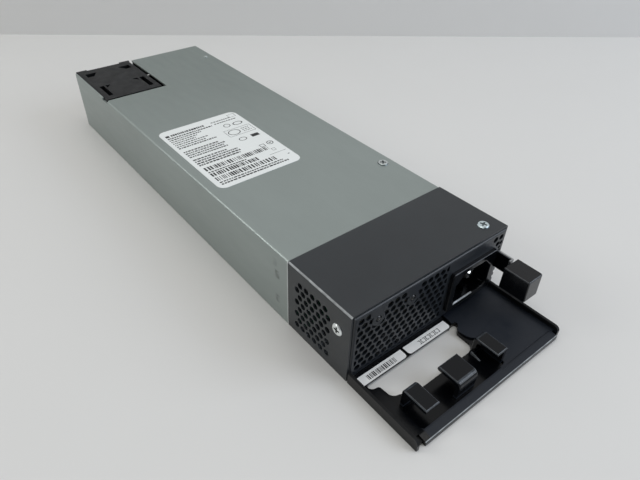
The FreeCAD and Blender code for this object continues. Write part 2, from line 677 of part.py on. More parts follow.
dress(inlet, "Fillet", 0.7, lambda c, b, e: near(c.y, -2.6) and b.YLength < 0.01
      and abs(c.x - 27.65) < 13.0 and abs(c.z - 18.55) < 9.0, "mouth")
# front outer edges of the flange
dress(inlet, "Fillet", 0.4, lambda c, b, e: near(c.y, -2.6) and b.YLength < 0.01
      and (abs(c.x - 27.65) > 14.2 or abs(c.z - 18.55) > 10.4), "flange_edge")
# key rib on the cavity floor, opposite the earth pin
pad(inlet, rect(inlet, "inlet_key", "XZ_Plane", (icx - 1.4, icx + 1.4), (icz - ch - 0.2, icz - ch + 3.2),
                pf + 0.8), 13.0, plus=True, name="key")
PINS = [(27.65, 20.55, -0.2), (20.65, 16.55, 2.8), (34.65, 16.55, 2.8)]
inlet_cut = cut("inlet_shell", inlet,
                [box("inlet_pin_slot", (x - 1.0, x + 1.0), (10.0, 20.0), (z - 2.0, z + 2.0))
                 for x, z, _y in PINS])
node("inlet_shell", inlet_cut)
pins = []
for i, (x, z, y) in enumerate(PINS):
    b = box("pin_%d" % i, (x - D["pin_w"] / 2, x + D["pin_w"] / 2), (y, 23.4),
            (z - D["pin_h"] / 2, z + D["pin_h"] / 2))
    pins.append(bevel("pin_tip_%d" % i, b, 0.6, lambda c, bb, e, y=y: near(c.y, y) and bb.YLength < 0.01))
node("inlet_pins", comp("inlet_pins", pins))
ib = box("inlet_board_blank", (12.2, 43.0), (19.4, 21.0), (7.4, 34.0))
node("inlet_board", cut("inlet_board", ib,
                        [box("inlet_board_slot", (x - 1.05, x + 1.05), (19.0, 22.0), (z - 2.05, z + 2.05))
                         for x, z, _y in PINS]))

# ============================================================== indicators
pipes = []
for i, (x, z) in enumerate(LEDS):
    rod = cyl("pipe_rod_%d" % i, (x, -0.9, z), 1.5, 8.5, "y")
    pipes.append(soften("pipe_dome_%d" % i, rod, 1.0, lambda c, b, e: near(c.y, -0.9)))
node("light_pipes", comp("light_pipes", pipes))
node("indicator_leds", comp("indicator_leds", [box("led_chip", (x - 1.6, x + 1.6), (7.6, 8.6),
                                                     (z - 1.4, z + 1.4)) for x, z in LEDS]))
node("indicator_board", box("indicator_board", (-40.0, -8.0), (8.6, 10.2), (26.0, pz - PT)))

# =================================================================== latch
LX, LT = D["leaf_x"], D["leaf_t"]
LO, HI = D["leaf_lo"], D["leaf_hi"]
leaf = body("latch_leaf")
pad(leaf, rect(leaf, "leaf_strip", "XY_Plane", (LX, LX + LT), (-9.6, D["leaf_root"] - 0.2), LO), HI - LO)
pad(leaf, rect(leaf, "leaf_tongue", "XY_Plane", (LX, LX + LT), (-20.0, -9.6), 18.6), 5.4)
pad(leaf, poly(leaf, "leaf_catch", "XY_Plane",
               [(LX + LT - 0.05, 7.6), (LX + LT + 4.3, 7.6), (LX + LT + 4.3, 10.2), (LX + LT - 0.05, 17.2)],
               19.2), 5.4)
pad(leaf, rect(leaf, "leaf_turn", "XY_Plane", (LX - 2.2, LX + LT), (-9.6, -8.9), 23.0), HI - 23.0)
dress(leaf, "Fillet", 0.7, lambda c, b, e: along(b, "z", 3) and near(c.x, 51.8), "nose")
node("latch_leaf", leaf)

thumb = body("thumb_latch")
TX0, TX1, TZ0, TZ1 = 38.0, 49.0, 15.6, 27.4
pad(thumb, poly(thumb, "thumb_block", "YZ_Plane",
                [(-11.0, TZ0), (-11.0, TZ1), (-24.6, TZ1), (-25.0, TZ0)], TX0), TX1 - TX0)
dress(thumb, "Fillet", 1.3, lambda c, b, e: b.ZLength > 8 and c.y < -24 and c.x > 48, "front_right")
dress(thumb, "Fillet", 0.9, lambda c, b, e: b.ZLength > 8 and c.y < -24 and c.x < 39, "front_left")
dress(thumb, "Fillet", 0.8, lambda c, b, e: c.z > 27.39 and c.y < -11.5, "top_rim")
# hollow from behind, with the slot for the leaf's tongue
pocket(thumb, rect(thumb, "thumb_core", "XZ_Plane", (39.7, 45.2), (17.4, 25.6), -11.0), 11.4,
       plus=False, name="core")
thumb_slot = box("thumb_slot", (LX, LX + LT), (-20.0, -11.0), (18.6, 24.0))
thumb_solid = cut("thumb_body", thumb, [thumb_slot])
arm = box("thumb_arm", (LX - 0.8, LX), (-11.4, -1.2), (17.5, 22.8))
arm_hi = box("thumb_arm_hi", (LX - 0.8, LX), (-8.7, -1.2), (22.6, 26.9))
node("thumb_latch", fuse("thumb_latch", [thumb_solid, arm, arm_hi]))

root = box("root_strip", (LX, LX + LT), (D["leaf_root"] + 0.2, 77.0), (LO, HI))
node("latch_spring_root", cut("latch_spring_root", root,
                              [cyl("root_bore", (46.0, y, 22.0), 1.05, 3.0, "x") for y in (65.0, 72.0)]))
riv = []
for y in (65.0, 72.0):
    riv.append(fuse("rivet_one", [cyl("rivet_stem", (46.1, y, 22.0), 1.0, 2.6, "x"),
                                  cyl("rivet_head", (46.0, y, 22.0), 1.9, 0.7, "x"),
                                  cyl("rivet_collar", (47.5, y, 22.0), 1.9, 0.3, "x")]))
node("latch_rivets", comp("latch_rivets", riv))

# ==================================================================== fans
FX, FZ, FS, FD, FY = D["fan_x"], D["fan_z"], D["fan_size"], D["fan_deep"], D["fan_y"]


def fan_frame(name, y, motor_y, rear):
    fb = body(name)
    h = FS / 2
    pad(fb, rect(fb, name + "_block", "XZ_Plane", (FX - h, FX + h), (FZ - h, FZ + h), y), FD, plus=True)
    dress(fb, "Fillet", 1.2, lambda c, b, e: along(b, "y", 20), "corners")
    pocket(fb, ring(fb, name + "_bore", "XZ_Plane", FX, FZ, y - 1.0, D["bore_r"]), FD + 2.0, plus=True,
           name="bore")
    # motor seat disc, its bearing tube and four vanes
    pad(fb, ring(fb, name + "_seat", "XZ_Plane", FX, FZ, motor_y, 10.6), 2.0, plus=True, name="seat")
    for k, (a0, a1, b0, b1) in enumerate(((-0.8, 0.8, 9.6, 19.0), (-0.8, 0.8, -19.0, -9.6),
                                          (9.6, 19.0, -0.8, 0.8), (-19.0, -9.6, -0.8, 0.8))):
        pad(fb, rect(fb, "%s_vane%d" % (name, k), "XZ_Plane", (FX + a0, FX + a1), (FZ + b0, FZ + b1),
                     motor_y), 4.0 if not rear else 3.6, plus=True, name="vane")
    if rear:
        pad(fb, ring(fb, name + "_tube", "XZ_Plane", FX, FZ, motor_y + 2.0, 3.5), 13.0, plus=True,
            name="tube")
        pocket(fb, ring(fb, name + "_race", "XZ_Plane", FX, FZ, motor_y + 15.5, D["race_r"]), 14.0,
               plus=False, name="race")
    else:
        pad(fb, ring(fb, name + "_tube", "XZ_Plane", FX, FZ, motor_y, 3.5), 13.0, plus=False,
            name="tube")
        pocket(fb, ring(fb, name + "_race", "XZ_Plane", FX, FZ, motor_y - 13.5, D["race_r"]), 14.0,
               plus=True, name="race")
    return fb


ff = fan_frame("fan_front_frame", FY, 267.0, False)
fr = fan_frame("fan_rear_frame", FY + FD, 275.0, True)
# corner tabs on the rear flange
h = FS / 2
for k, (xa, xb) in enumerate(((-20.0, -12.4), (12.4, 20.0))):
    for m, (za, zb) in enumerate(((-20.0, -13.4), (13.4, 20.0))):
        pad(fr, rect(fr, "fan_tab_%d%d" % (k, m), "XZ_Plane", (FX + xa, FX + xb), (FZ + za, FZ + zb),
                     FY + 2 * FD), 1.7, plus=True, name="tab")
fcx, fcz = FX.v, FZ.v


def both(name, x, y, depth):
    out = []
    for z in ((fcz + 20.0 - depth, fcz + 21.0), (fcz - 21.0, fcz - 20.0 + depth)):
        out.append(box(name, (fcx + x[0], fcx + x[1]), y, z))
    return out


def wedge(name, pts, depth):
    out = []
    for z0 in (fcz + 20.0 - depth, fcz - 21.0):
        w = Part.Face(Part.makePolygon([V(fcx + a, b, z0) for a, b in pts + pts[:1]]))
        out.append(shape(name, w.extrude(V(0, 0, depth + 1.0))))
    return out


front_tools = (both("slot_fl", (-16.2, -13.2), (250.4, 268.0), 6.0)
               + both("slot_fr", (12.9, 16.2), (250.4, 268.0), 6.0)
               + wedge("wedge_fl", [(-12.0, 268.0), (-8.4, 268.0), (-12.0, 263.6)], 2.4)
               + wedge("wedge_fr", [(11.6, 268.0), (7.8, 268.0), (11.6, 263.6)], 2.4)
               + [cyl("fan_bolt", (fcx + a, 244.0, fcz + b), 1.7, 8.0, "y")
                  for a in (-16.0, 16.0) for b in (-16.0, 16.0)]
               + [cyl("fan_bolt", (fcx + a, 267.0, fcz + b), 1.7, 8.0, "y")
                  for a in (-16.0, 16.0) for b in (-16.0, 16.0)])
node("fan_front_frame", cut("fan_front_frame", ff, front_tools))
rear_tools = (wedge("wedge_rl", [(-16.4, 294.4), (-8.2, 294.4), (-12.0, 288.2), (-16.4, 288.2)], 2.4)
              + wedge("wedge_rr", [(16.4, 294.4), (8.2, 294.4), (12.0, 288.2), (16.4, 288.2)], 2.4)
              + [cyl("fan_bolt", (fcx + a, 294.0, fcz + b), 1.7, 10.0, "y")
                 for a in (-16.0, 16.0) for b in (-16.0, 16.0)]
              + [cyl("fan_bolt", (fcx + a, 272.0, fcz + b), 1.7, 6.0, "y")
                 for a in (-16.0, 16.0) for b in (-16.0, 16.0)])
node("fan_rear_frame", cut("fan_rear_frame", fr, rear_tools))


# Rotor: hub cup on a shaft, twisted blades repeated about the axis.
def fan_rotor(name, y_face, sign, count, twist):
    rb = body(name)
    plus = sign > 0
    pad(rb, ring(rb, name + "_hub", "XZ_Plane", FX, FZ, y_face, D["hub_r"]), 17.0, plus=plus, name="hub")
    dress(rb, "Fillet", 1.0, lambda c, b, e: near(c.y, y_face) and b.YLength < 0.01, "nose")
    y_in = y_face + sign * 1.6
    pocket(rb, ring(rb, name + "_cup", "XZ_Plane", FX, FZ, y_face + sign * 17.5, D["hub_in"]), 15.9,
           plus=not plus, name="cup")
    pad(rb, ring(rb, name + "_shaft", "XZ_Plane", FX, FZ, y_in, D["shaft_r"]), 16.4, plus=plus,
        name="shaft")
    blades = []
    trim = Part.makeCylinder(D["tip_r"].v, 40.0, V(fcx, y_face - 20.0, fcz), V(0, 1, 0))
    for k in range(count):
        a = 2 * math.pi * k / count
        out, turn = V(math.cos(a), 0, math.sin(a)), V(-math.sin(a), 0, math.cos(a))
        secs = []
        for r, w in ((D["hub_r"].v - 0.5, 0.62), (14.4, 0.52), (D["tip_r"].v + 0.3, 0.42)):
            lean = r * math.tan(twist) * (0.92 if r > 12 else 1.0)
            mid = V(fcx, y_face + sign * 8.4, fcz) + out * r
            ends = []
            for t in (-1, 1):
                e = mid + turn * (t * lean) + V(0, -sign * t * 6.6, 0)
                ends += [e - turn * (w * t), e + turn * (w * t)]
            secs.append(Part.makePolygon(ends + ends[:1]))
        blades.append(shape(name + "_blade", Part.makeLoft(secs, True, True).common(trim)))
    return fuse(name, [rb] + blades)


node("fan_front_rotor", fan_rotor("fan_front_rotor", 248.0, 1, 7, 0.27))
node("fan_rear_rotor", fan_rotor("fan_rear_rotor", 296.0, -1, 5, -0.33))


# Stator: laminated core with six coils round the bearing tube.
def stator(name, y):
    ringc = cut(name + "_core", cyl(name + "_disc", (FX, y, FZ), 8.6, 8.4, "y"),
                [cyl(name + "_hole", (FX, y - 1.0, FZ), 3.55, 12.0, "y")]
                + [cyl(name + "_slot", (fcx + 6.9 * math.cos(math.pi * k / 2 + 0.78), y - 1.0,
                                        fcz + 6.9 * math.sin(math.pi * k / 2 + 0.78)), 1.5, 12.0, "y")
                   for k in range(4)])
    return ringc


node("fan_front_stator", stator("fan_front_stator", 257.4))
node("fan_rear_stator", stator("fan_rear_stator", 278.2))
brg = []
for y in (254.6, 263.6, 277.6, 287.2):
    brg.append(cut("bearing_one", cyl("bearing_out", (FX, y, FZ), D["race_r"] - 0.02, 2.2, "y"),
                   [cyl("bearing_in", (FX, y - 1, FZ), D["shaft_r"] + 0.04, 5.0, "y")]))
node("fan_bearings", comp("fan_bearings", brg))

# ================================================================== boards
BZ, BTK = D["board_z"], D["board_t"]
BTOP = BZ + BTK
board = body("main_board")
pad(board, poly(board, "board_outline", "XY_Plane",
                [(-45.8, 30.0), (42.5, 30.0), (42.5, 82.0), (45.8, 82.0), (45.8, 292.0),
                 (-3.6, 292.0), (-3.6, 240.0), (-45.8, 240.0)], BZ), BTK)
board_cut = cut("main_board", board, [cyl("board_bore", (x, y, 4.0), 1.6, 4.0) for x, y in POSTS])
node("main_board", board_cut)
film = body("insulation_sheet")
pad(film, poly(film, "film_outline", "XY_Plane",
               [(-45.4, 24.0), (42.5, 24.0), (42.5, 82.0), (45.6, 82.0), (45.6, 292.0),
                (-3.6, 292.0), (-3.6, 240.0), (-45.4, 240.0)], 1.05), 0.4)
node("insulation_sheet", cut("insulation_sheet", film,
                             [cyl("film_bore", (x, y, 0.9), 3.3, 1.0) for x, y in POSTS]))
post = []
for x, y in POSTS:
    hexa = Part.Face(Part.makePolygon([V(x + 3.0 * math.cos(math.pi * k / 3), y + 3.0 * math.sin(math.pi * k / 3),
                                         T.v) for k in range(7)])).extrude(V(0, 0, BZ.v - T.v))
    post.append(cut("post_one", shape("post_hex", hexa), [cyl("post_bore", (x, y, 1.8), 1.25, 6.0)]))
node("board_standoffs", comp("board_standoffs", post))

pan = body("pan_master")
s = poly(pan, "pan_profile", "XZ_Plane", [(0, -4.2), (1.2, -4.2), (1.2, -0.0), (2.75, 0.0), (2.75, 1.1),
                                        (2.2, 1.6), (0, 1.75)], 0)
f = pan.newObject("PartDesign::Revolution", "pan_turn")
f.Profile = s
f.ReferenceAxis = (s, ["V_Axis"])
f.Angle = 360
doc.recompute()
pocket(pan, rect(pan, "pan_cross_a", "XY_Plane", (-1.5, 1.5), (-0.3, 0.3), 2.0), 1.2, plus=False)
pocket(pan, rect(pan, "pan_cross_b", "XY_Plane", (-0.3, 0.3), (-1.5, 1.5), 2.0), 1.2, plus=False)
node("board_screws", copies("board_screws", pan, [PL(V(x, y, BTOP.v), ROT()) for x, y in POSTS]))

# Case screws: low flat heads on the sleeve and on the cover's right edge.
flat = body("flat_master")
s = poly(flat, "flat_profile", "XZ_Plane", [(0, -3.6), (1.2, -3.6), (1.2, 0.0), (2.95, 0.0), (2.95, 0.25),
                                          (2.5, 0.62), (0, 0.72)], 0)
f = flat.newObject("PartDesign::Revolution", "flat_turn")
f.Profile = s
f.ReferenceAxis = (s, ["V_Axis"])
f.Angle = 360
doc.recompute()
pocket(flat, rect(flat, "flat_cross_a", "XY_Plane", (-1.7, 1.7), (-0.45, 0.45), 1.0), 0.8, plus=False)
pocket(flat, rect(flat, "flat_cross_b", "XY_Plane", (-0.45, 0.45), (-1.7, 1.7), 1.0), 0.8, plus=False)
node("case_screws", copies("case_screws", flat, [
    PL(V(41.0, 7.2, 40.1), ROT(V(0, 0, 1), 20)),
    PL(V(42.5, 77.1, 40.1), ROT(V(0, 0, 1), 50)),
    PL(V(-48.8, 7.7, 26.9), ROT(V(0, 0, 1), V(-1, 0, 0))),
    PL(V(50.66, 7.7, 33.2), ROT(V(0, 0, 1), V(1, 0, 0)))]))
node("case_rivets", comp("case_rivets", [
    fuse("case_rivet", [cyl("case_rivet_head", (43.5, 274.9, TOP), 1.3, 0.3),
                        cyl("case_rivet_stem", (43.5, 274.9, 36.4), 0.9, 3.75)])]))


# ========================================================== board components
# An E core pair round a wound former, the winding's axis along Y.
def wound(core_name, coil_name, x, y, z, leg, win):
    lx, ly, lz = x[1] - x[0], y[1] - y[0], z[1] - z[0]
    cx = (x[0] + x[1]) / 2
    outer = box(core_name + "_block", x, y, z)
    ya, yb = y[0] + leg / 2, y[1] - leg / 2
    w = [box(core_name + "_window", (cx - leg / 2 - win, cx - leg / 2), (ya, yb), (z[0] - 1, z[1] + 1)),
         box(core_name + "_window", (cx + leg / 2, cx + leg / 2 + win), (ya, yb), (z[0] - 1, z[1] + 1))]
    node(core_name, cut(core_name, outer, w))
    g = 0.1
    ring_out = box(coil_name + "_outer", (cx - leg / 2 - win + g, cx + leg / 2 + win - g), (ya + g, yb - g),
                   (z[0] - 2.4, z[1] + 2.4))
    ring_in = box(coil_name + "_inner", (cx - leg / 2 - g, cx + leg / 2 + g), (ya - 1, yb + 1),
                  (z[0] - g, z[1] + g))
    r = soften(coil_name + "_round", ring_out, min(2.4, win * 0.7), lambda c, b, e: along(b, "y", 4))
    node(coil_name, cut(coil_name, r, [ring_in]))


def rounded(name, x, y, z, r, axis="z"):
    return soften(name, box(name + "_block", x, y, z), r, lambda c, b, e: along(b, axis, 2))


zb = BTOP.v
wound("filter_choke_core", "filter_choke_winding", (-42.0, -14.0), (46.0, 74.0), (zb + 2.4, zb + 22.4),
      9.0, 6.0)
node("x_capacitors", comp("x_capacitors", [
    rounded("x_cap", (-9.0, 17.0), (36.0, 46.0), (zb, zb + 19.0), 0.8),
    rounded("x_cap", (-9.0, 17.0), (66.0, 76.0), (zb, zb + 19.0), 0.8)]))
node("y_capacitors", comp("y_capacitors", [
    soften("y_cap", cyl("y_disc", (x, y, zb + 4.5), 4.5, 3.6, "y"), 1.0, lambda c, b, e: True)
    for x, y in ((24.0, 36.5), (36.0, 47.0), (24.0, 47.0), (36.0, 57.0))]))
fb_ = fuse("fuse_one", [cyl("fuse_tube", (-6.0, 56.0, zb + 3.0), 2.6, 20.0, "x"),
                        cyl("fuse_cap", (-7.0, 56.0, zb + 3.0), 3.0, 5.0, "x"),
                        cyl("fuse_cap", (10.0, 56.0, zb + 3.0), 3.0, 5.0, "x")])
node("input_fuse", fb_)
node("inrush_relay", rounded("inrush_relay", (-42.0, -29.0), (80.0, 109.0), (zb, zb + 16.0), 0.6))
node("inrush_thermistor", soften("inrush_thermistor",
                                 cyl("ntc_disc", (-20.0, 82.0, zb + 7.5), 7.5, 5.0, "y"), 1.4,
                                 lambda c, b, e: True))
node("bridge_rectifier", fuse("bridge_one", [
    rounded("bridge_body", (3.0, 33.0), (85.0, 89.6), (zb + 3.0, zb + 23.0), 0.6)]
    + [box("bridge_lead", (x - 0.6, x + 0.6), (86.8, 87.8), (zb, zb + 3.1)) for x in (6.0, 13.5, 21.0, 28.5)]))
sink = fuse("sink_one", [box("sink_plate", (0.0, 40.0), (89.6, 92.6), (zb, zb + 30.0))]
            + [box("sink_fin", (0.0 + 4.4 * k, 1.2 + 4.4 * k), (92.5, 103.0), (zb + 4.0, zb + 30.0))
               for k in range(10)])
node("bridge_heatsink", sink)
wound("pfc_inductor_core", "pfc_inductor_winding", (9.0, 43.0), (108.0, 142.0), (zb + 2.4, zb + 26.0),
      10.0, 7.4)
cans = []
CANS = [(-28.6, 116.0), (-28.6, 168.0)]
for x, y in CANS:
    c = body("can_body")
    pad(c, ring(c, "can_circle", "XZ_Plane", x, BTOP + D["can_r"], y, D["can_r"]), D["can_len"],
        plus=True)
    dress(c, "Fillet", 1.2, lambda cc, b, e: b.YLength < 0.01)
    cans.append(c)
node("bulk_capacitors", comp("bulk_capacitors", cans))
sink2 = fuse("sink_two", [box("sink_plate", (-10.0, -7.4), (112.0, 196.0), (zb, zb + 30.0))]
             + [box("sink_fin", (-7.5, -1.4), (112.0 + 6.4 * k, 113.4 + 6.4 * k), (zb + 12.0, zb + 30.0))
                for k in range(13)])
node("primary_heatsink", sink2)
node("primary_transistors", comp("primary_transistors", [
    fuse("transistor", [box("transistor_body", (-7.4, -2.9), (113.8 + 19.2 * k, 118.2 + 19.2 * k),
                            (zb + 1.0, zb + 11.6))]
         + [box("transistor_lead", (-5.4, -4.8), (y - 0.4, y + 0.4), (zb, zb + 1.1))
            for y in (114.6 + 19.2 * k, 117.4 + 19.2 * k)]) for k in range(4)]))
wound("transformer_core", "transformer_winding", (4.0, 42.0), (148.0, 184.0), (zb + 2.4, zb + 25.0),
      12.0, 8.4)
sink3 = fuse("sink_three", [box("sink_plate", (6.0, 41.0), (196.0, 199.0), (zb, zb + 29.0))]
             + [box("sink_fin", (6.0 + 4.7 * k, 7.2 + 4.7 * k), (198.9, 208.0), (zb + 10.0, zb + 29.0))
                for k in range(8)])
node("secondary_heatsink", sink3)
node("rectifier_transistors", comp("rectifier_transistors", [
    fuse("rectifier", [box("rectifier_body", (8.0 + 8.6 * k, 14.4 + 8.6 * k), (191.6, 196.0),
                           (zb + 1.0, zb + 12.0))]
         + [box("rectifier_lead", (x - 0.4, x + 0.4), (193.5, 194.1), (zb, zb + 1.1))
            for x in (9.2 + 8.6 * k, 13.2 + 8.6 * k)]) for k in range(4)]))
wound("output_inductor_core", "output_inductor_winding", (-40.0, -16.0), (219.0 - 0.0, 239.0),
      (zb + 2.4, zb + 18.4), 7.0, 5.2)
caps = []
for x, y in ((3.0, 217.0), (14.0, 217.0), (25.0, 217.0), (36.0, 217.0), (14.0, 229.0), (25.0, 229.0),
             (36.0, 229.0), (38.5, 241.0)):
    caps.append(soften("out_cap", cyl("out_can", (x, y, zb), 5.0, 20.0), 0.7,
                       lambda c, b, e: c.z > zb + 15 and b.ZLength < 0.01))
node("output_capacitors", comp("output_capacitors", caps))
node("control_header", box("control_header", (-6.2, -3.2), (204.0, 236.0), (zb, zb + 3.0)))
ctl = fuse("control_one", [box("control_pcb", (-5.4, -3.8), (202.0, 238.0), (zb + 3.0, zb + 29.0))]
           + [box("control_chip", (-3.9, -2.8), (206.0 + 9.0 * k, 211.0 + 9.0 * k), (zb + 10.0, zb + 17.0))
              for k in range(3)])
node("control_board", ctl)
node("standby_transformer", rounded("standby_transformer", (-22.0, -8.0), (94.0, 108.0), (zb, zb + 15.0), 1.0))
bars = [fuse("bus_one", [box("bus_flat", (x, x + 12.0), (236.0, 284.0), (zb, zb + 1.6)),
                         box("bus_rise", (x, x + 12.0), (282.4, 284.0), (zb + 1.5, zb + 14.0))])
        for x in (6.0, 20.0)]
node("output_busbars", comp("output_busbars", bars))

# ========================================================= output connector
oc = body("output_connector")
pad(oc, rect(oc, "oc_block", "XZ_Plane", (1.4, 44.6), (zb, zb + 20.8), 284.1), 14.4, plus=True)
for k in range(6):
    pocket(oc, rect(oc, "oc_slot_%d" % k, "XZ_Plane", (3.4 + 4.6 * k, 6.4 + 4.6 * k), (zb + 3.2, zb + 14.8),
                    299.0), 10.0, plus=False, name="slot")
pocket(oc, rect(oc, "oc_signal", "XZ_Plane", (31.6, 43.0), (zb + 3.2, zb + 14.8), 299.0), 9.0, plus=False,
       name="signal")
dress(oc, "Chamfer", 0.8, lambda c, b, e: near(c.y, 298.5) and b.YLength < 0.01
      and (b.XLength > 30 or (b.ZLength > 17 and b.XLength < 0.01)), "lead_in")
node("output_connector", oc)
node("output_contacts", comp("output_contacts", [
    box("contact", (4.3 + 4.6 * k, 5.5 + 4.6 * k), (289.0, 297.4), (zb + 4.4, zb + 13.6)) for k in range(6)]))
node("signal_pins", comp("signal_pins", [
    box("signal_pin", (33.0 + 2.4 * i, 33.7 + 2.4 * i), (290.0, 296.4), (zb + 5.0 + 2.8 * j, zb + 5.7 + 2.8 * j))
    for i in range(4) for j in range(4)]))


# Fan lead: straight runs joined by tangent arcs, one tube.
def tube(name, pts, r, rad):
    edges = []
    cur = V(*pts[0])
    for i in range(1, len(pts) - 1):
        a, p, c = V(*pts[i - 1]), V(*pts[i]), V(*pts[i + 1])
        u, w = (a - p).normalize(), (c - p).normalize()
        half = (math.pi - u.getAngle(w)) / 2
        d = rad * math.tan(half)
        s0, s1 = p + u * d, p + w * d
        bis = (u + w).normalize()
        mid = p + bis * (rad / math.cos(half) - rad)
        edges.append(Part.LineSegment(cur, s0).toShape())
        edges.append(Part.Arc(s0, mid, s1).toShape())
        cur = s1
    edges.append(Part.LineSegment(cur, V(*pts[-1])).toShape())
    path = Part.Wire(edges)
    d0 = (V(*pts[1]) - V(*pts[0])).normalize()
    prof = Part.Wire([Part.Circle(V(*pts[0]), d0, r).toShape()])
    t = path.makePipeShell([prof], True, True)
    want = math.pi * r * r * path.Length
    if abs(t.Volume - want) > 0.03 * want:
        raise RuntimeError("tube volume off: " + name)
    return shape(name, t)


node("fan_cable", fuse("fan_cable", [
    tube("fan_lead", [(-6.75, 262.0, 35.0), (-6.75, 243.6, 35.0), (3.0, 236.0, 27.0), (3.0, 231.0, zb + 7.9)],
         0.85, 4.0),
    box("fan_plug", (-0.2, 6.2), (228.2, 233.4), (zb, zb + 8.0))]))

# ================================================================== labels
LBL = D["label_t"]
top_label = body("top_label")
pad(top_label, rect(top_label, "top_label_face", "XY_Plane", (-43.0, 10.0), (107.5, 181.5), TOP), LBL)
dress(top_label, "Fillet", 4.4, lambda c, b, e: along(b, "z", 0.05))
node("top_label", top_label)
strip = []
for k, (xa, xb) in enumerate(((-46.2, -18.6), (-17.0, 10.7))):
    sl = body("strip_%d" % k)
    pad(sl, rect(sl, "strip_face_%d" % k, "XY_Plane", (xa, xb), (-7.6, -2.8), FL), LBL)
    dress(sl, "Fillet", 1.5, lambda c, b, e: along(b, "z", 0.05) and c.y < -5)
    strip.append(sl)
node("strip_labels", comp("strip_labels", strip))

# ================================================================== output
doc.recompute()
bad = []
for o in doc.Objects:
    if "Invalid" in o.State or "Error" in o.State:
        bad.append("%s %s" % (o.Name, o.State))
names = [n for n, _ in NODES]
if len(set(names)) != len(names):
    bad.append("a node name is used twice")
for n, o in NODES:
    if o.Shape.isNull() or not o.Shape.isValid() or not o.Shape.Solids:
        bad.append("%s has no valid solid" % n)
if bad:
    raise RuntimeError("; ".join(bad))
for old in os.listdir("parts"):
    if old.endswith(".step"):
        os.remove(os.path.join("parts", old))
for n, o in NODES:
    o.Shape.exportStep(os.path.join("parts", n + ".step"))
print(len(NODES), "nodes,", sum(len(o.Shape.Solids) for _n, o in NODES), "solids")
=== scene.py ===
import math
import random

import bmesh
import bpy
from mathutils import Matrix, Vector


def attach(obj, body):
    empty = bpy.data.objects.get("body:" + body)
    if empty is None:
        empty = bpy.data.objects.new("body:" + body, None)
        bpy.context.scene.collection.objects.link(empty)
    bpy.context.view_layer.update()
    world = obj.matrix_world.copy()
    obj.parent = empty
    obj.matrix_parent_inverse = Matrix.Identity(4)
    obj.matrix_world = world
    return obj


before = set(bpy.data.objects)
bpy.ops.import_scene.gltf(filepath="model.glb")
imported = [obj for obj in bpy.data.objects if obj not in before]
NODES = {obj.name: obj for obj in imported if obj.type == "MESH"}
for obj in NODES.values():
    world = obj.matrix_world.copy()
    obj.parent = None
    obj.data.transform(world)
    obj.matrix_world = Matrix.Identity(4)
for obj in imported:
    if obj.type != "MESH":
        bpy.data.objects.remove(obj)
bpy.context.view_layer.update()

MM = 0.001


# ---------------------------------------------------------------- materials
def _node(nt, kind, **props):
    n = nt.nodes.new(kind)
    for k, v in props.items():
        setattr(n, k, v)
    return n


def _link(nt, a, b):
    nt.links.new(a, b)


def _ramp(nt, stops):
    r = _node(nt, "ShaderNodeValToRGB")
    el = r.color_ramp.elements
    el[0].position, el[0].color = stops[0][0], stops[0][1]
    el[1].position, el[1].color = stops[-1][0], stops[-1][1]
    for p, c in stops[1:-1]:
        e = el.new(p)
        e.color = c
    return r


def shade(c, k):
    return (min(1.0, c[0] * k), min(1.0, c[1] * k), min(1.0, c[2] * k), 1.0)


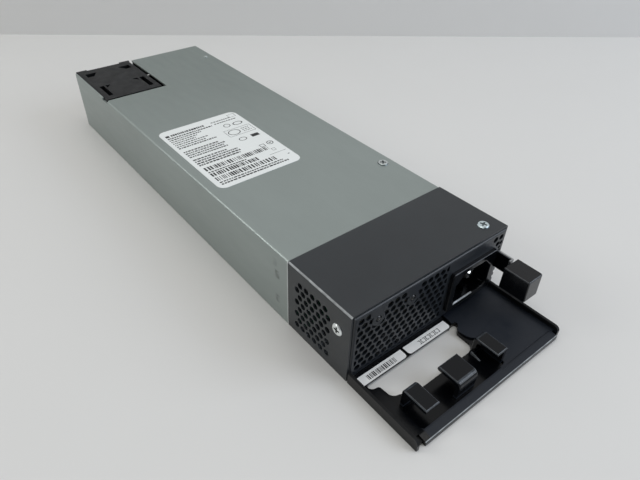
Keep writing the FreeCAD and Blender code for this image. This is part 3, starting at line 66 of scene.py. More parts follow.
def material(name, base, rough, metal=0.0, var=0.08, scale=60.0, stretch=(1, 1, 1), rough_var=0.06,
             bump=0.0, bump_scale=900.0, bump_stretch=(1, 1, 1), speck=0.0, speck_scale=2500.0, spec=0.5,
             coat=0.0, coat_rough=0.1, trans=0.0, ior=1.5, emit=None, emit_strength=0.0, stain=0.0, tint=None,
             aniso=0.0):
    """A surface whose colour, roughness and fine relief vary over the object's own space."""
    m = bpy.data.materials.new(name)
    m.use_nodes = True
    nt = m.node_tree
    nt.nodes.clear()
    out = _node(nt, "ShaderNodeOutputMaterial")
    b = _node(nt, "ShaderNodeBsdfPrincipled")
    _link(nt, b.outputs["BSDF"], out.inputs["Surface"])
    b.inputs["Metallic"].default_value = metal
    b.inputs["IOR"].default_value = ior
    b.inputs["Specular IOR Level"].default_value = spec
    b.inputs["Coat Weight"].default_value = coat
    b.inputs["Coat Roughness"].default_value = coat_rough
    b.inputs["Transmission Weight"].default_value = trans
    b.inputs["Anisotropic"].default_value = aniso
    if emit:
        b.inputs["Emission Color"].default_value = (*emit, 1.0)
        b.inputs["Emission Strength"].default_value = emit_strength
    tc = _node(nt, "ShaderNodeTexCoord")
    mp = _node(nt, "ShaderNodeMapping")
    mp.inputs["Scale"].default_value = stretch
    _link(nt, tc.outputs["Object"], mp.inputs["Vector"])
    big = _node(nt, "ShaderNodeTexNoise")
    big.inputs["Scale"].default_value = scale
    big.inputs["Detail"].default_value = 5.0
    big.inputs["Roughness"].default_value = 0.6
    _link(nt, mp.outputs["Vector"], big.inputs["Vector"])
    lo, hi = shade(base, 1 - var), shade(base, 1 + var)
    if tint:
        hi = shade(tint, 1 + var)
    ramp = _ramp(nt, [(0.3, lo), (0.7, hi)])
    _link(nt, big.outputs["Fac"], ramp.inputs["Fac"])
    colour = ramp.outputs["Color"]
    if speck > 0:
        fine = _node(nt, "ShaderNodeTexNoise")
        fine.inputs["Scale"].default_value = speck_scale
        fine.inputs["Detail"].default_value = 2.0
        _link(nt, mp.outputs["Vector"], fine.inputs["Vector"])
        fr = _ramp(nt, [(0.35, (1 - speck,) * 3 + (1,)), (0.65, (1 + speck,) * 3 + (1,))])
        _link(nt, fine.outputs["Fac"], fr.inputs["Fac"])
        mix = _node(nt, "ShaderNodeMix", data_type="RGBA", blend_type="MULTIPLY")
        mix.inputs["Factor"].default_value = 1.0
        _link(nt, colour, mix.inputs["A"])
        _link(nt, fr.outputs["Color"], mix.inputs["B"])
        colour = mix.outputs["Result"]
    if stain > 0:
        wide = _node(nt, "ShaderNodeTexNoise")
        wide.inputs["Scale"].default_value = 9.0
        wide.inputs["Detail"].default_value = 3.0
        _link(nt, tc.outputs["Object"], wide.inputs["Vector"])
        wr = _ramp(nt, [(0.3, (1 - stain,) * 3 + (1,)), (0.72, (1 + stain,) * 3 + (1,))])
        _link(nt, wide.outputs["Fac"], wr.inputs["Fac"])
        mix2 = _node(nt, "ShaderNodeMix", data_type="RGBA", blend_type="MULTIPLY")
        mix2.inputs["Factor"].default_value = 1.0
        _link(nt, colour, mix2.inputs["A"])
        _link(nt, wr.outputs["Color"], mix2.inputs["B"])
        colour = mix2.outputs["Result"]
    _link(nt, colour, b.inputs["Base Color"])
    rn = _node(nt, "ShaderNodeTexNoise")
    rn.inputs["Scale"].default_value = scale * 2.3
    rn.inputs["Detail"].default_value = 4.0
    _link(nt, mp.outputs["Vector"], rn.inputs["Vector"])
    rr = _node(nt, "ShaderNodeMapRange")
    rr.inputs["From Min"].default_value = 0.3
    rr.inputs["From Max"].default_value = 0.7
    rr.inputs["To Min"].default_value = max(0.02, rough - rough_var)
    rr.inputs["To Max"].default_value = min(1.0, rough + rough_var)
    _link(nt, rn.outputs["Fac"], rr.inputs["Value"])
    _link(nt, rr.outputs["Result"], b.inputs["Roughness"])
    if bump > 0:
        bm = _node(nt, "ShaderNodeMapping")
        bm.inputs["Scale"].default_value = bump_stretch
        _link(nt, tc.outputs["Object"], bm.inputs["Vector"])
        bn = _node(nt, "ShaderNodeTexNoise")
        bn.inputs["Scale"].default_value = bump_scale
        bn.inputs["Detail"].default_value = 3.0
        _link(nt, bm.outputs["Vector"], bn.inputs["Vector"])
        bp = _node(nt, "ShaderNodeBump")
        bp.inputs["Strength"].default_value = bump
        bp.inputs["Distance"].default_value = 0.0002
        _link(nt, bn.outputs["Fac"], bp.inputs["Height"])
        _link(nt, bp.outputs["Normal"], b.inputs["Normal"])
    return m


def moulded(name, base, rough, zones, grain=0.14, spec=0.5, flank=None):
    """Moulded plastic: a matt spark-eroded grain, and zones by height, each (from, to, colour, roughness).

    flank is one more zone of the same form, taken across the width instead of the height.
    """
    m = material(name, base, rough, var=0.10, scale=70.0, rough_var=0.06, bump=grain, bump_scale=3200.0, spec=spec,
                 speck=0.08, speck_scale=3600.0, stain=0.05)
    nt = m.node_tree
    b = next(n for n in nt.nodes if n.type == "BSDF_PRINCIPLED")
    colour = b.inputs["Base Color"].links[0].from_socket
    rough_in = b.inputs["Roughness"].links[0].from_socket
    tc = next(n for n in nt.nodes if n.type == "TEX_COORD")
    xyz = _node(nt, "ShaderNodeSeparateXYZ")
    _link(nt, tc.outputs["Object"], xyz.inputs["Vector"])
    nz = _node(nt, "ShaderNodeTexNoise")
    nz.inputs["Scale"].default_value = 260.0
    nz.inputs["Detail"].default_value = 2.0
    _link(nt, tc.outputs["Object"], nz.inputs["Vector"])
    wave = _node(nt, "ShaderNodeMath", operation="MULTIPLY_ADD")
    wave.inputs[1].default_value = 0.00025
    _link(nt, nz.outputs["Fac"], wave.inputs[0])
    _link(nt, xyz.outputs["Z"], wave.inputs[2])
    spread = _node(nt, "ShaderNodeMapRange")
    spread.inputs["From Min"].default_value = 0.3
    spread.inputs["From Max"].default_value = 0.7
    spread.inputs["To Min"].default_value = 0.85
    spread.inputs["To Max"].default_value = 1.15
    _link(nt, nz.outputs["Fac"], spread.inputs["Value"])
    across = _node(nt, "ShaderNodeMath", operation="MULTIPLY_ADD")
    across.inputs[1].default_value = 0.00025
    _link(nt, nz.outputs["Fac"], across.inputs[0])
    _link(nt, xyz.outputs["X"], across.inputs[2])
    for start, end, tone, sheen in list(zones) + ([flank] if flank else []):
        mask = _node(nt, "ShaderNodeMapRange", interpolation_type="SMOOTHSTEP")
        mask.inputs["From Min"].default_value = start
        mask.inputs["From Max"].default_value = end
        axis = across if flank and (start, end, tone, sheen) == flank else wave
        _link(nt, axis.outputs["Value"], mask.inputs["Value"])
        cm = _node(nt, "ShaderNodeMix", data_type="RGBA")
        _link(nt, mask.outputs["Result"], cm.inputs["Factor"])
        _link(nt, colour, cm.inputs["A"])
        cm.inputs["B"].default_value = (*tone, 1.0)
        colour = cm.outputs["Result"]
        uneven = _node(nt, "ShaderNodeMath", operation="MULTIPLY")
        uneven.inputs[1].default_value = sheen
        _link(nt, spread.outputs["Result"], uneven.inputs[0])
        rm = _node(nt, "ShaderNodeMix", data_type="FLOAT")
        _link(nt, mask.outputs["Result"], rm.inputs["Factor"])
        _link(nt, rough_in, rm.inputs["A"])
        _link(nt, uneven.outputs["Value"], rm.inputs["B"])
        rough_in = rm.outputs["Result"]
    _link(nt, colour, b.inputs["Base Color"])
    _link(nt, rough_in, b.inputs["Roughness"])
    return m


def wear_and_painted_light(m, tone, bands, amount=1.0, uneven=0.35, sheen=None):
    """Blend the base colour towards tone where all bands are passed: marks and edge wear, and also painted highlights
    and painted shade.

    A band is (direction, from, to): the distance along the direction, in millimetres of the object's own space,
    over which its mask rises from nothing to full.
    """
    nt = m.node_tree
    b = next(n for n in nt.nodes if n.type == "BSDF_PRINCIPLED")
    colour = b.inputs["Base Color"].links[0].from_socket
    tc = next(n for n in nt.nodes if n.type == "TEX_COORD")
    nz = _node(nt, "ShaderNodeTexNoise")
    nz.inputs["Scale"].default_value = 240.0
    nz.inputs["Detail"].default_value = 2.0
    _link(nt, tc.outputs["Object"], nz.inputs["Vector"])
    fac = _node(nt, "ShaderNodeMapRange")
    fac.inputs["From Min"].default_value = 0.35
    fac.inputs["From Max"].default_value = 0.60
    fac.inputs["To Min"].default_value = amount * (1.0 - uneven)
    fac.inputs["To Max"].default_value = amount
    _link(nt, nz.outputs["Fac"], fac.inputs["Value"])
    mask = fac.outputs["Result"]
    for direction, start, end in bands:
        dot = _node(nt, "ShaderNodeVectorMath", operation="DOT_PRODUCT")
        dot.inputs[1].default_value = direction
        _link(nt, tc.outputs["Object"], dot.inputs[0])
        rise = _node(nt, "ShaderNodeMapRange", interpolation_type="SMOOTHSTEP")
        rise.inputs["From Min"].default_value = start * MM
        rise.inputs["From Max"].default_value = end * MM
        _link(nt, dot.outputs["Value"], rise.inputs["Value"])
        mul = _node(nt, "ShaderNodeMath", operation="MULTIPLY")
        _link(nt, mask, mul.inputs[0])
        _link(nt, rise.outputs["Result"], mul.inputs[1])
        mask = mul.outputs["Value"]
    cm = _node(nt, "ShaderNodeMix", data_type="RGBA")
    _link(nt, mask, cm.inputs["Factor"])
    _link(nt, colour, cm.inputs["A"])
    cm.inputs["B"].default_value = (*tone, 1.0)
    _link(nt, cm.outputs["Result"], b.inputs["Base Color"])
    if sheen is not None:
        old = b.inputs["Roughness"].links[0].from_socket
        rm = _node(nt, "ShaderNodeMix", data_type="FLOAT")
        _link(nt, mask, rm.inputs["Factor"])
        _link(nt, old, rm.inputs["A"])
        rm.inputs["B"].default_value = sheen
        _link(nt, rm.outputs["Result"], b.inputs["Roughness"])
    return m


def block(x, y, z, soft=0.05):
    """The six bands of a box, each side softened over soft millimetres."""
    out = []
    for k, span in enumerate((x, y, z)):
        if span is None:
            continue
        plus = tuple(1.0 if i == k else 0.0 for i in range(3))
        minus = tuple(-1.0 if i == k else 0.0 for i in range(3))
        out.append((plus, span[0] - soft / 2, span[0] + soft / 2))
        out.append((minus, -span[1] - soft / 2, -span[1] + soft / 2))
    return out


M = {}
# Zinc plated sheet: a dull, slightly green grey with fine rolled grain.
M["steel"] = material("plated_steel", (0.340, 0.382, 0.370), 0.41, metal=0.85, var=0.022, scale=22.0,
                      stretch=(4, 1, 4), rough_var=0.035, bump=0.06, bump_scale=1500.0,
                      bump_stretch=(3, 0.35, 3), speck=0.025, speck_scale=3000.0, stain=0.04)
# Satin powder coat with fine orange peel.
M["paint"] = material("dark_paint", (0.0180, 0.0215, 0.0250), 0.38, var=0.10, scale=30.0, rough_var=0.05,
                      bump=0.16, bump_scale=2600.0, speck=0.10, speck_scale=4200.0, spec=0.5, stain=0.05)
M["panel"] = material("dark_paint_panel", (0.0120, 0.0155, 0.0205), 0.38, var=0.10, scale=60.0, rough_var=0.05,
                      bump=0.14, bump_scale=2600.0, speck=0.08, speck_scale=4200.0, spec=0.5)
# Moulded nylon: a polished recess up to 2.4 mm, kept far darker than the plate as painted shade in the hollow, the
# grained plate and bar up to 3.4 mm, glossier hooks and rails; across the width, the strip along the left rail
# darkened as painted shade.
M["tray"] = moulded("moulded_black", (0.0010, 0.0013, 0.0019), 0.20,
                    [(0.0023, 0.0026, (0.0088, 0.0120, 0.0185), 0.42), (0.0034, 0.0040, (0.0020, 0.0027, 0.0040), 0.16)],
                    grain=0.05, spec=0.28, flank=(-0.0402, -0.0415, (0.0012, 0.0017, 0.0028), 0.24))
M["thumb"] = material("moulded_thumb", (0.0018, 0.0024, 0.0036), 0.22, var=0.10, scale=90.0, rough_var=0.05,
                      bump=0.05, bump_scale=3200.0, spec=0.40)
M["inlet"] = material("inlet_black", (0.0020, 0.0026, 0.0036), 0.20, var=0.10, scale=90.0, rough_var=0.05,
                      bump=0.04, bump_scale=3000.0, spec=0.30)
M["fan"] = material("fan_black", (0.0040, 0.0045, 0.0056), 0.46, var=0.10, scale=80.0, rough_var=0.06,
                    bump=0.14, bump_scale=3000.0, spec=0.27)
M["rotor"] = material("rotor_black", (0.014, 0.0145, 0.016), 0.38, var=0.10, scale=80.0, rough_var=0.05,
                      bump=0.08, bump_scale=3000.0)
M["nickel"] = material("nickel", (0.80, 0.78, 0.73), 0.20, metal=1.0, var=0.05, scale=160.0, rough_var=0.06,
                       bump=0.04, bump_scale=2200.0)
M["gold"] = material("gold_plate", (0.86, 0.64, 0.28), 0.22, metal=1.0, var=0.06, scale=160.0, rough_var=0.05)
M["screw"] = material("zinc_screw", (0.80, 0.86, 0.85), 0.24, metal=1.0, var=0.07, scale=420.0, rough_var=0.08,
                      bump=0.08, bump_scale=3000.0)
M["screw_case"] = material("case_screw", (0.92, 0.96, 0.96), 0.32, metal=1.0, var=0.05, scale=420.0,
                           rough_var=0.06, bump=0.06, bump_scale=3000.0)
M["spring"] = material("spring_steel", (0.40, 0.41, 0.42), 0.33, metal=1.0, var=0.06, scale=70.0,
                       stretch=(1, 0.2, 1), bump=0.06, bump_scale=1600.0, bump_stretch=(1, 0.2, 1))
# near-black light pipes: painted shade of the dark holes they sit in
M["pipe"] = material("light_pipe", (0.005, 0.006, 0.007), 0.14, var=0.10, scale=300.0, ior=1.49,
                     rough_var=0.04, coat=0.4, coat_rough=0.06)
M["led"] = material("led_body", (0.80, 0.80, 0.72), 0.30, var=0.05, scale=300.0)
M["pcb"] = material("circuit_board", (0.012, 0.085, 0.040), 0.33, var=0.20, scale=260.0, rough_var=0.06,
                    bump=0.25, bump_scale=700.0, speck=0.15, speck_scale=1200.0, coat=0.2, coat_rough=0.2)
M["film"] = material("insulation_film", (0.020, 0.021, 0.022), 0.40, var=0.06, scale=40.0, rough_var=0.06)
M["brass"] = material("brass", (0.72, 0.54, 0.24), 0.30, metal=1.0, var=0.06, scale=150.0)
M["ferrite"] = material("ferrite", (0.045, 0.045, 0.050), 0.62, var=0.16, scale=160.0, bump=0.35,
                        bump_scale=1500.0, speck=0.12)
M["copper"] = material("enamelled_copper", (0.50, 0.17, 0.055), 0.28, metal=0.9, var=0.16, scale=120.0,
                       stretch=(1, 6, 1), bump=0.8, bump_scale=420.0, bump_stretch=(1, 6, 1), coat=0.5)
M["tape"] = material("yellow_tape", (0.66, 0.46, 0.04), 0.36, var=0.08, scale=60.0, bump=0.15,
                     bump_scale=500.0, coat=0.2)
M["filmcap"] = material("film_capacitor", (0.60, 0.40, 0.07), 0.40, var=0.06, scale=60.0, bump=0.10)
M["disc"] = material("disc_capacitor", (0.03, 0.11, 0.36), 0.38, var=0.08, scale=160.0, bump=0.2)
M["ntc"] = material("thermistor", (0.03, 0.09, 0.05), 0.55, var=0.12, scale=160.0, bump=0.3)
M["fuse"] = material("fuse_ceramic", (0.70, 0.68, 0.62), 0.42, var=0.05, scale=120.0)
M["relay"] = material("relay_blue", (0.02, 0.06, 0.22), 0.30, var=0.06, scale=60.0)
M["epoxy"] = material("device_epoxy", (0.016, 0.016, 0.017), 0.55, var=0.12, scale=200.0, bump=0.3)
M["sink"] = material("heatsink", (0.58, 0.59, 0.60), 0.36, metal=1.0, var=0.05, scale=60.0,
                     stretch=(1, 1, 5), bump=0.12, bump_scale=900.0, bump_stretch=(1, 1, 0.1))
M["can"] = material("capacitor_sleeve", (0.018, 0.022, 0.050), 0.34, var=0.10, scale=60.0, coat=0.2)
M["bus"] = material("tinned_copper", (0.66, 0.42, 0.26), 0.32, metal=1.0, var=0.08, scale=60.0)
M["chrome"] = material("bearing_steel", (0.72, 0.72, 0.74), 0.16, metal=1.0, var=0.04, scale=200.0)
M["cable"] = material("cable_sleeve", (0.014, 0.014, 0.015), 0.50, var=0.10, scale=200.0, bump=0.2)
M["label"] = material("label_film", (0.735, 0.76, 0.755), 0.42, var=0.015, scale=40.0, rough_var=0.05,
                      bump=0.04, bump_scale=1200.0)
M["strip"] = material("strip_label_film", (0.87, 0.875, 0.87), 0.36, var=0.012, scale=60.0, rough_var=0.05,
                      bump=0.03, bump_scale=1200.0)
M["ink"] = material("label_ink", (0.012, 0.013, 0.014), 0.50, var=0.20, scale=500.0, rough_var=0.05)
M["ink_soft"] = material("label_ink_soft", (0.060, 0.064, 0.066), 0.50, var=0.20, scale=700.0, rough_var=0.05)

# Edge wear and marks, painted highlights on rims and edges, and painted shade in recesses, each where it shows on the
# object.
wear_and_painted_light(M["steel"], (0.70, 0.73, 0.73), [((-1, 0, 0), 48.4, 48.6), ((0, -1, 0), -42.75, -42.55)], uneven=0.25)
# painted shade: the top of the case darkens towards the rear
wear_and_painted_light(M["steel"], (0.270, 0.312, 0.296), [((0, 1, 0), 110.0, 290.0), ((0, 0, 1), 39.9, 40.02)], amount=0.6, uneven=0.1)
for y, z, deep in ((50.5, 26.6, 0.95), (50.4, 11.2, 0.80), (52.0, 33.0, 0.30)):
    wear_and_painted_light(M["steel"], (0.10, 0.11, 0.10), block((-49.2, -48.6), (y - 1.5, y + 1.5), (z - 2.2, z + 2.2), soft=1.8)[2:]
         + [((-1, 0, 0), 48.5, 48.7)], amount=deep, uneven=0.8)
# painted highlight along the sleeve's top-left bend
wear_and_painted_light(M["paint"], (0.36, 0.38, 0.39), [((-1, 0, 1), 87.92, 88.08)], uneven=0.45)
wear_and_painted_light(M["paint"], (0.05, 0.055, 0.06), [((0, 1, 0), 41.6, 41.9)], uneven=0.5)
# painted shade: the top screws toned duller than the side screw, the front one with a bluish cast
wear_and_painted_light(M["screw_case"], (0.64, 0.68, 0.68), [((1, 0, 0), -46.0, -44.0), ((0, 1, 0), 40.0, 50.0)], uneven=0.1)
wear_and_painted_light(M["screw_case"], (0.66, 0.76, 0.79), [((1, 0, 0), -46.0, -44.0), ((0, -1, 0), -50.0, -40.0)], uneven=0.1)
# painted shade in the cross recess of the side screw
wear_and_painted_light(M["screw_case"], (0.010, 0.014, 0.012), block((-49.36, -48.2), (5.8, 9.6), (25.0, 28.8)), uneven=0.1)
# painted shade in the cross recesses of the top screws, with a dark shaded ring at their rims
wear_and_painted_light(M["screw_case"], (0.10, 0.12, 0.125), block((39.0, 44.5), None, (40.2, 40.62)), uneven=0.1)
# painted highlight along the rims of the hook lips
wear_and_painted_light(M["tray"], (0.060, 0.068, 0.078), [((0, 0, 1), 11.40, 11.55), ((0, 0, -1), -11.985, -11.955)], uneven=0.5)
# painted highlight along the front edge of the bar
wear_and_painted_light(M["tray"], (0.30, 0.32, 0.33), [((0, -1, 0), 41.60, 41.72), ((0, 0, 1), 2.22, 2.30)], uneven=0.5)
# painted shade on the top of the right rail, with a rougher finish to dull its sheen
wear_and_painted_light(M["tray"], (0.0010, 0.0014, 0.0020), [((1, 0, 0), 47.25, 47.35), ((0, 0, 1), 3.3, 3.5)], sheen=0.75)
# painted shade on the top and inner face of the left rail, with a rougher finish
wear_and_painted_light(M["tray"], (0.0012, 0.0016, 0.0022), block((-48.76, -47.3), None, (3.3, 7.0)), sheen=0.70)
# painted highlight on the ridge of the small rib
wear_and_painted_light(M["tray"], (0.14, 0.15, 0.16), block((4.75, 5.65), (-30.5, -24.1), (2.2, 4.0), soft=0.1), uneven=0.4)
# painted highlight along the top rim of the thumb block
wear_and_painted_light(M["thumb"], (0.035, 0.040, 0.046), [((0, 0, 1), 26.70, 26.85), ((0, 0, -1), -27.385, -27.35)], uneven=0.5)
# painted highlight on the lower lip of the inlet mouth
wear_and_painted_light(M["inlet"], (0.62, 0.66, 0.70), block((16.0, 30.0), (-2.7, -1.85), (9.45, 9.97), soft=0.12), uneven=0.3)
# painted highlight along the top edge of the inlet flange
wear_and_painted_light(M["inlet"], (0.05, 0.055, 0.062), block((11.0, 44.0), (-2.7, -2.25), (30.2, 30.6), soft=0.1), uneven=0.5)

USE = {
    "steel": ["case_base", "case_cover"],
    "paint": ["front_sleeve"],
    "panel": ["front_panel"],
    "tray": ["cord_retainer"],
    "thumb": ["thumb_latch"],
    "inlet": ["inlet_shell", "output_connector", "control_header"],
    "fan": ["fan_front_frame", "fan_rear_frame"],
    "rotor": ["fan_front_rotor", "fan_rear_rotor"],
    "nickel": ["inlet_pins"],
    "gold": ["output_contacts", "signal_pins"],
    "screw_case": ["case_screws"],
    "screw": ["tray_screws", "board_screws", "case_rivets", "latch_rivets"],
    "spring": ["latch_leaf", "latch_spring_root"],
    "pipe": ["light_pipes"],
    "led": ["indicator_leds"],
    "pcb": ["main_board", "indicator_board", "inlet_board", "control_board"],
    "film": ["insulation_sheet"],
    "brass": ["board_standoffs"],
    "ferrite": ["filter_choke_core", "pfc_inductor_core", "transformer_core", "output_inductor_core"],
    "copper": ["filter_choke_winding", "pfc_inductor_winding", "output_inductor_winding",
               "fan_front_stator", "fan_rear_stator"],
    "tape": ["transformer_winding", "standby_transformer"],
    "filmcap": ["x_capacitors"],
    "disc": ["y_capacitors"],
    "ntc": ["inrush_thermistor"],
    "fuse": ["input_fuse"],
    "relay": ["inrush_relay"],
    "epoxy": ["bridge_rectifier", "primary_transistors", "rectifier_transistors"],
    "sink": ["bridge_heatsink", "primary_heatsink", "secondary_heatsink"],
    "can": ["bulk_capacitors", "output_capacitors"],
    "bus": ["output_busbars"],
    "chrome": ["fan_bearings"],
    "cable": ["fan_cable"],
    "label": ["top_label"],
    "strip": ["strip_labels"],
}
for key, names in USE.items():
    for n in names:
        o = NODES[n]
        o.data.materials.clear()
        o.data.materials.append(M[key])


# ------------------------------------------------------------- mesh helpers
def mesh_object(name, bm, mat, smooth=False):
    me = bpy.data.meshes.new(name)
    bm.normal_update()
    bm.to_mesh(me)
    bm.free()
    me.materials.append(mat)
    if smooth:
        for p in me.polygons:
            p.use_smooth = True
    o = bpy.data.objects.new(name, me)
    bpy.context.scene.collection.objects.link(o)
    return o


def slab(bm, pts, z0, z1):
    """A closed flat prism over the outline pts, in millimetres."""
    lo = [bm.verts.new((x * MM, y * MM, z0 * MM)) for x, y in pts]
    hi = [bm.verts.new((x * MM, y * MM, z1 * MM)) for x, y in pts]
    bm.faces.new(hi)
    bm.faces.new(lo[::-1])
    n = len(pts)
    for i in range(n):
        j = (i + 1) % n
        bm.faces.new((lo[i], lo[j], hi[j], hi[i]))


def bar(bm, x0, x1, y0, y1, z0, z1):
    slab(bm, [(x0, y0), (x1, y0), (x1, y1), (x0, y1)], z0, z1)


def ring(bm, cx, cy, r, w, z0, z1, n=28, k=1.0):
    """A flat ring, as two outlines joined into a closed band."""
    rows = []
    for rr, z in ((r, z0), (r, z1), (r - w, z1), (r - w, z0)):
        rows.append([bm.verts.new(((cx + k * rr * math.cos(2 * math.pi * i / n)) * MM,
                                   (cy + rr * math.sin(2 * math.pi * i / n)) * MM, z * MM)) for i in range(n)])
    for a in range(4):
        b = (a + 1) % 4
        for i in range(n):
            j = (i + 1) % n
            bm.faces.new((rows[a][i], rows[a][j], rows[b][j], rows[b][i]))
    bmesh.ops.recalc_face_normals(bm, faces=bm.faces)


def frame_lines(bm, x0, x1, y0, y1, w, z0, z1):
    bar(bm, x0, x1, y0, y0 + w, z0, z1)
    bar(bm, x0, x1, y1 - w, y1, z0, z1)
    bar(bm, x0, x0 + w, y0 + w, y1 - w, z0, z1)
    bar(bm, x1 - w, x1, y0 + w, y1 - w, z0, z1)


# ------------------------------------------------------- generic label marks
rnd = random.Random(7)
ZL = 40.1 + 0.12
Z0, Z1 = ZL + 0.004, ZL + 0.014


def dashes(bm, x0, x1, y, h, wmin=0.5, wmax=2.4, gap=0.45):
    """A row of short plain dashes of uneven length."""
    x = x0
    while x < x1 - 0.3:
        w = min(rnd.uniform(wmin, wmax), x1 - x)
        bar(bm, x, x + w, y - h / 2, y + h / 2, Z0, Z1)
        x += w + gap + rnd.uniform(0, 0.25)


def stripes(bm, x0, x1, y0, y1, z0, z1, seed, wide=0.9, thin=0.25):
    """A row of plain upright bars of uneven width."""
    r = random.Random(seed)
    x = x0
    while x < x1 - 0.2:
        w = r.choice((thin, thin, thin * 1.8, thin * 2.6, wide * 0.8))
        w = min(w, x1 - x)
        bar(bm, x, x + w, y0, y1, z0, z1)
        x += w + r.choice((thin, thin * 1.4, thin * 2.2))


dark = bmesh.new()
soft = bmesh.new()
# left block: rows of dashes, from the rear edge towards the front
bar(dark, -40.6, -38.2, 173.4, 175.6, Z0, Z1)
dashes(dark, -37.2, -14.5, 174.6, 2.0, 0.7, 1.5, 0.28)
for i, (x1, h) in enumerate(((-11.0, 1.0), (-20.0, 1.0), (-24.0, 0.8), (-26.0, 0.8), (-19.0, 0.8), (-22.0, 0.8),
                             (-16.0, 1.0))):
    dashes(soft if i in (1, 2, 4, 5) else dark, -40.6, x1, 171.6 - i * 2.3, h + 0.25, 0.6, 1.7, 0.3)
dashes(dark, -10.0, 4.0, 175.0, 0.9, 0.8, 2.0, 0.3)
dashes(dark, -9.0, 6.5, 172.2, 0.9, 0.8, 2.0, 0.3)
for i, x1 in enumerate((-17.5, -15.0, -16.5, -15.0)):
    dashes(dark if i == 0 else soft, -40.4, x1, 152.4 - i * 2.3, 1.25, 0.7, 2.0, 0.3)
for i, x1 in enumerate((-18.5, -13.0, -12.5, -14.0)):
    dashes(dark if i > 1 else soft, -40.4, x1, 141.6 - i * 2.3, 1.3, 0.8, 2.4, 0.3)
# three rows of plain bars
stripes(dark, -40.0, 1.0, 127.2, 131.2, Z0, Z1, 11, wide=1.3, thin=0.42)
dashes(dark, -40.0, -16.0, 125.5, 1.0, 0.8, 1.8, 0.3)
stripes(dark, -40.0, -10.0, 120.7, 124.3, Z0, Z1, 12, wide=1.3, thin=0.42)
stripes(dark, -40.0, -2.0, 115.4, 119.4, Z0, Z1, 13, wide=1.3, thin=0.42)
dashes(dark, -40.0, 0.5, 113.6, 1.0, 0.8, 2.0, 0.3)
dashes(dark, -40.0, 3.0, 111.6, 1.15, 0.8, 2.4, 0.3)
# right block: plain boxes, rings and a rule
frame_lines(soft, 3.4, 8.2, 174.8, 178.6, 0.22, Z0, Z1)
frame_lines(soft, -9.6, 8.4, 152.2, 160.8, 0.25, Z0, Z1)
ring(dark, -4.4, 156.5, 3.2, 0.45, Z0, Z1, k=1.25)
for i in range(3):
    dashes(soft, 1.2, 6.8, 158.4 - i * 1.9, 0.6, 0.7, 1.6)
ring(dark, -3.6, 166.4, 2.2, 0.45, Z0, Z1, k=1.0)
ring(dark, 3.6, 165.8, 2.1, 0.45, Z0, Z1, k=1.6)
ring(dark, -4.6, 146.6, 2.0, 0.4, Z0, Z1, k=1.3)
bar(dark, 1.4, 6.6, 145.2, 148.4, Z0, Z1)
ring(dark, 5.6, 133.6, 2.1, 0.5, Z0, Z1)
bar(dark, 4.8, 6.4, 133.2, 134.0, Z0, Z1)
frame_lines(dark, -1.6, 1.6, 131.6, 134.6, 0.35, Z0, Z1)
frame_lines(soft, 1.8, 4.2, 124.6, 127.2, 0.25, Z0, Z1)
bar(soft, -2.6, 8.4, 121.6, 121.85, Z0, Z1)
bar(soft, 6.4, 7.6, 116.6, 117.3, Z0, Z1)
marks = mesh_object("label_marks", dark, M["ink"])
marks_soft = mesh_object("label_marks_soft", soft, M["ink_soft"])
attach(marks, "chassis")
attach(marks_soft, "chassis")

# plain bars on one strip label, plain dashes on the other
strip = bmesh.new()
zs = 2.0 + 0.12
stripes(strip, -41.2, -23.8, -6.8, -4.1, zs + 0.004, zs + 0.014, 21, wide=0.8, thin=0.25)
x = -8.8
for k in range(9):
    bar(strip, x, x + 1.10, -6.6, -6.25, zs + 0.004, zs + 0.014)
    bar(strip, x, x + 1.10, -4.65, -4.3, zs + 0.004, zs + 0.014)
    bar(strip, x + (0.0 if k % 2 else 0.75), x + (0.35 if k % 2 else 1.10), -6.25, -4.65, zs + 0.004, zs + 0.014)
    x += 1.55
strip_marks = mesh_object("strip_marks", strip, M["ink"])
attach(strip_marks, "chassis")

# ------------------------------------------------------------------- stage
floor_mat = material("studio_floor", (0.655, 0.650, 0.640), 0.38, var=0.012, scale=3.0, rough_var=0.04, spec=0.35)
wall_mat = material("studio_wall", (0.74, 0.733, 0.720), 0.6, var=0.01, scale=2.0, rough_var=0.03, spec=0.2)
CAM = Vector((-151.717, -100.780, 193.935)) * MM


def quad(name, pts, mat):
    bm = bmesh.new()
    bm.faces.new([bm.verts.new(p) for p in pts])
    return mesh_object(name, bm, mat)


edge = Vector((-0.04817, 0.55498, 0.0))
along_wall = Vector((0.80553, -0.59255, 0.0))
away = Vector((0.59255, 0.80553, 0.0))
floor = quad("studio_floor", [edge - away * 4.0 - along_wall * 4.0, edge - away * 4.0 + along_wall * 4.0,
                              edge + along_wall * 4.0, edge - along_wall * 4.0], floor_mat)
wall = quad("studio_wall", [edge - along_wall * 4.0, edge + along_wall * 4.0,
                            edge + along_wall * 4.0 + Vector((0, 0, 0.17)),
                            edge - along_wall * 4.0 + Vector((0, 0, 0.17))], wall_mat)
for o in (floor, wall):
    o.location.z -= 0.00002


# ------------------------------------------------------------------- light
def area(name, at, towards, size, power, colour, size_y=None):
    data = bpy.data.lights.new(name, "AREA")
    data.shape = "RECTANGLE"
    data.size = size
    data.size_y = size_y or size
    data.energy = power
    data.color = colour
    o = bpy.data.objects.new(name, data)
    bpy.context.scene.collection.objects.link(o)
    o.location = at
    d = (Vector(towards) - Vector(at)).normalized()
    o.rotation_euler = d.to_track_quat("-Z", "Y").to_euler()
    return o


MID = Vector((0.0, 0.10, 0.0))


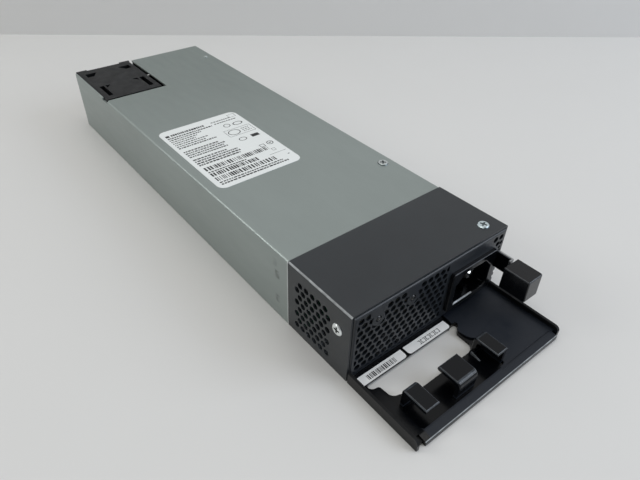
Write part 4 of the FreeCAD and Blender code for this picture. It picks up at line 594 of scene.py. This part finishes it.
def lit_from(name, across, along, climb, reach, size, power, colour, size_y=None):
    """A soft panel of light in the direction (across, along) at a climb in degrees, aimed at the object."""
    flat = Vector((across, along, 0.0)).normalized() * math.cos(math.radians(climb))
    at = MID + (flat + Vector((0, 0, math.sin(math.radians(climb))))) * reach
    return area(name, at, MID, size, power, colour, size_y)


top_at = Vector((0.016, 0.050, 1.32))
area("overhead", top_at, top_at + Vector((-0.089, -0.121, -1.0)), 1.35, 5.6, (1.0, 0.995, 0.955), 0.74)
card_at = edge + Vector((0.0, 0.0, 0.92))
area("card", card_at, card_at - away, 3.0, 5.4, (1.0, 0.99, 0.97), 1.5)
lit_from("key", 0.67, -0.74, 30.0, 1.5, 0.85, 9.5, (0.82, 0.89, 1.0))
lit_from("front", 0.25, -0.97, 22.0, 1.6, 0.9, 1.4, (0.80, 0.88, 1.0), 0.5)
lit_from("back", -0.70, 0.56, 30.0, 1.5, 0.5, 4.4, (1.0, 1.0, 0.97))
lit_from("left", -0.95, -0.10, 56.0, 1.6, 1.5, 3.2, (1.0, 0.99, 0.93))
world = bpy.data.worlds.new("studio")
bpy.context.scene.world = world
world.use_nodes = True
bg = world.node_tree.nodes["Background"]
bg.inputs["Color"].default_value = (0.93, 0.96, 1.0, 1.0)
bg.inputs["Strength"].default_value = 0.22

# ------------------------------------------------------------------ camera
cam_data = bpy.data.cameras.new("camera")
cam = bpy.data.objects.new("camera", cam_data)
bpy.context.scene.collection.objects.link(cam)
right = Vector((0.78777069, -0.61580826, 0.01405438))
down = Vector((-0.38730586, -0.51294379, -0.76608278))
fwd = Vector((0.47896922, 0.59805422, -0.64258824))
rot = Matrix((right, -down, -fwd)).transposed().to_4x4()
cam.matrix_world = Matrix.Translation(CAM) @ rot
cam_data.sensor_width = 36.0
cam_data.sensor_fit = "HORIZONTAL"
cam_data.lens = 537.6063 * 36.0 / 640.0
cam_data.shift_x = (320.0 - 308.4621) / 640.0
cam_data.shift_y = (250.7175 - 240.0) / 640.0
cam_data.clip_start = 0.005
cam_data.clip_end = 20.0
cam_data.dof.use_dof = False
bpy.context.scene.camera = cam
bpy.context.scene.view_settings.view_transform = "Standard"
bpy.context.scene.view_settings.look = "None"
bpy.context.scene.view_settings.exposure = 0.0
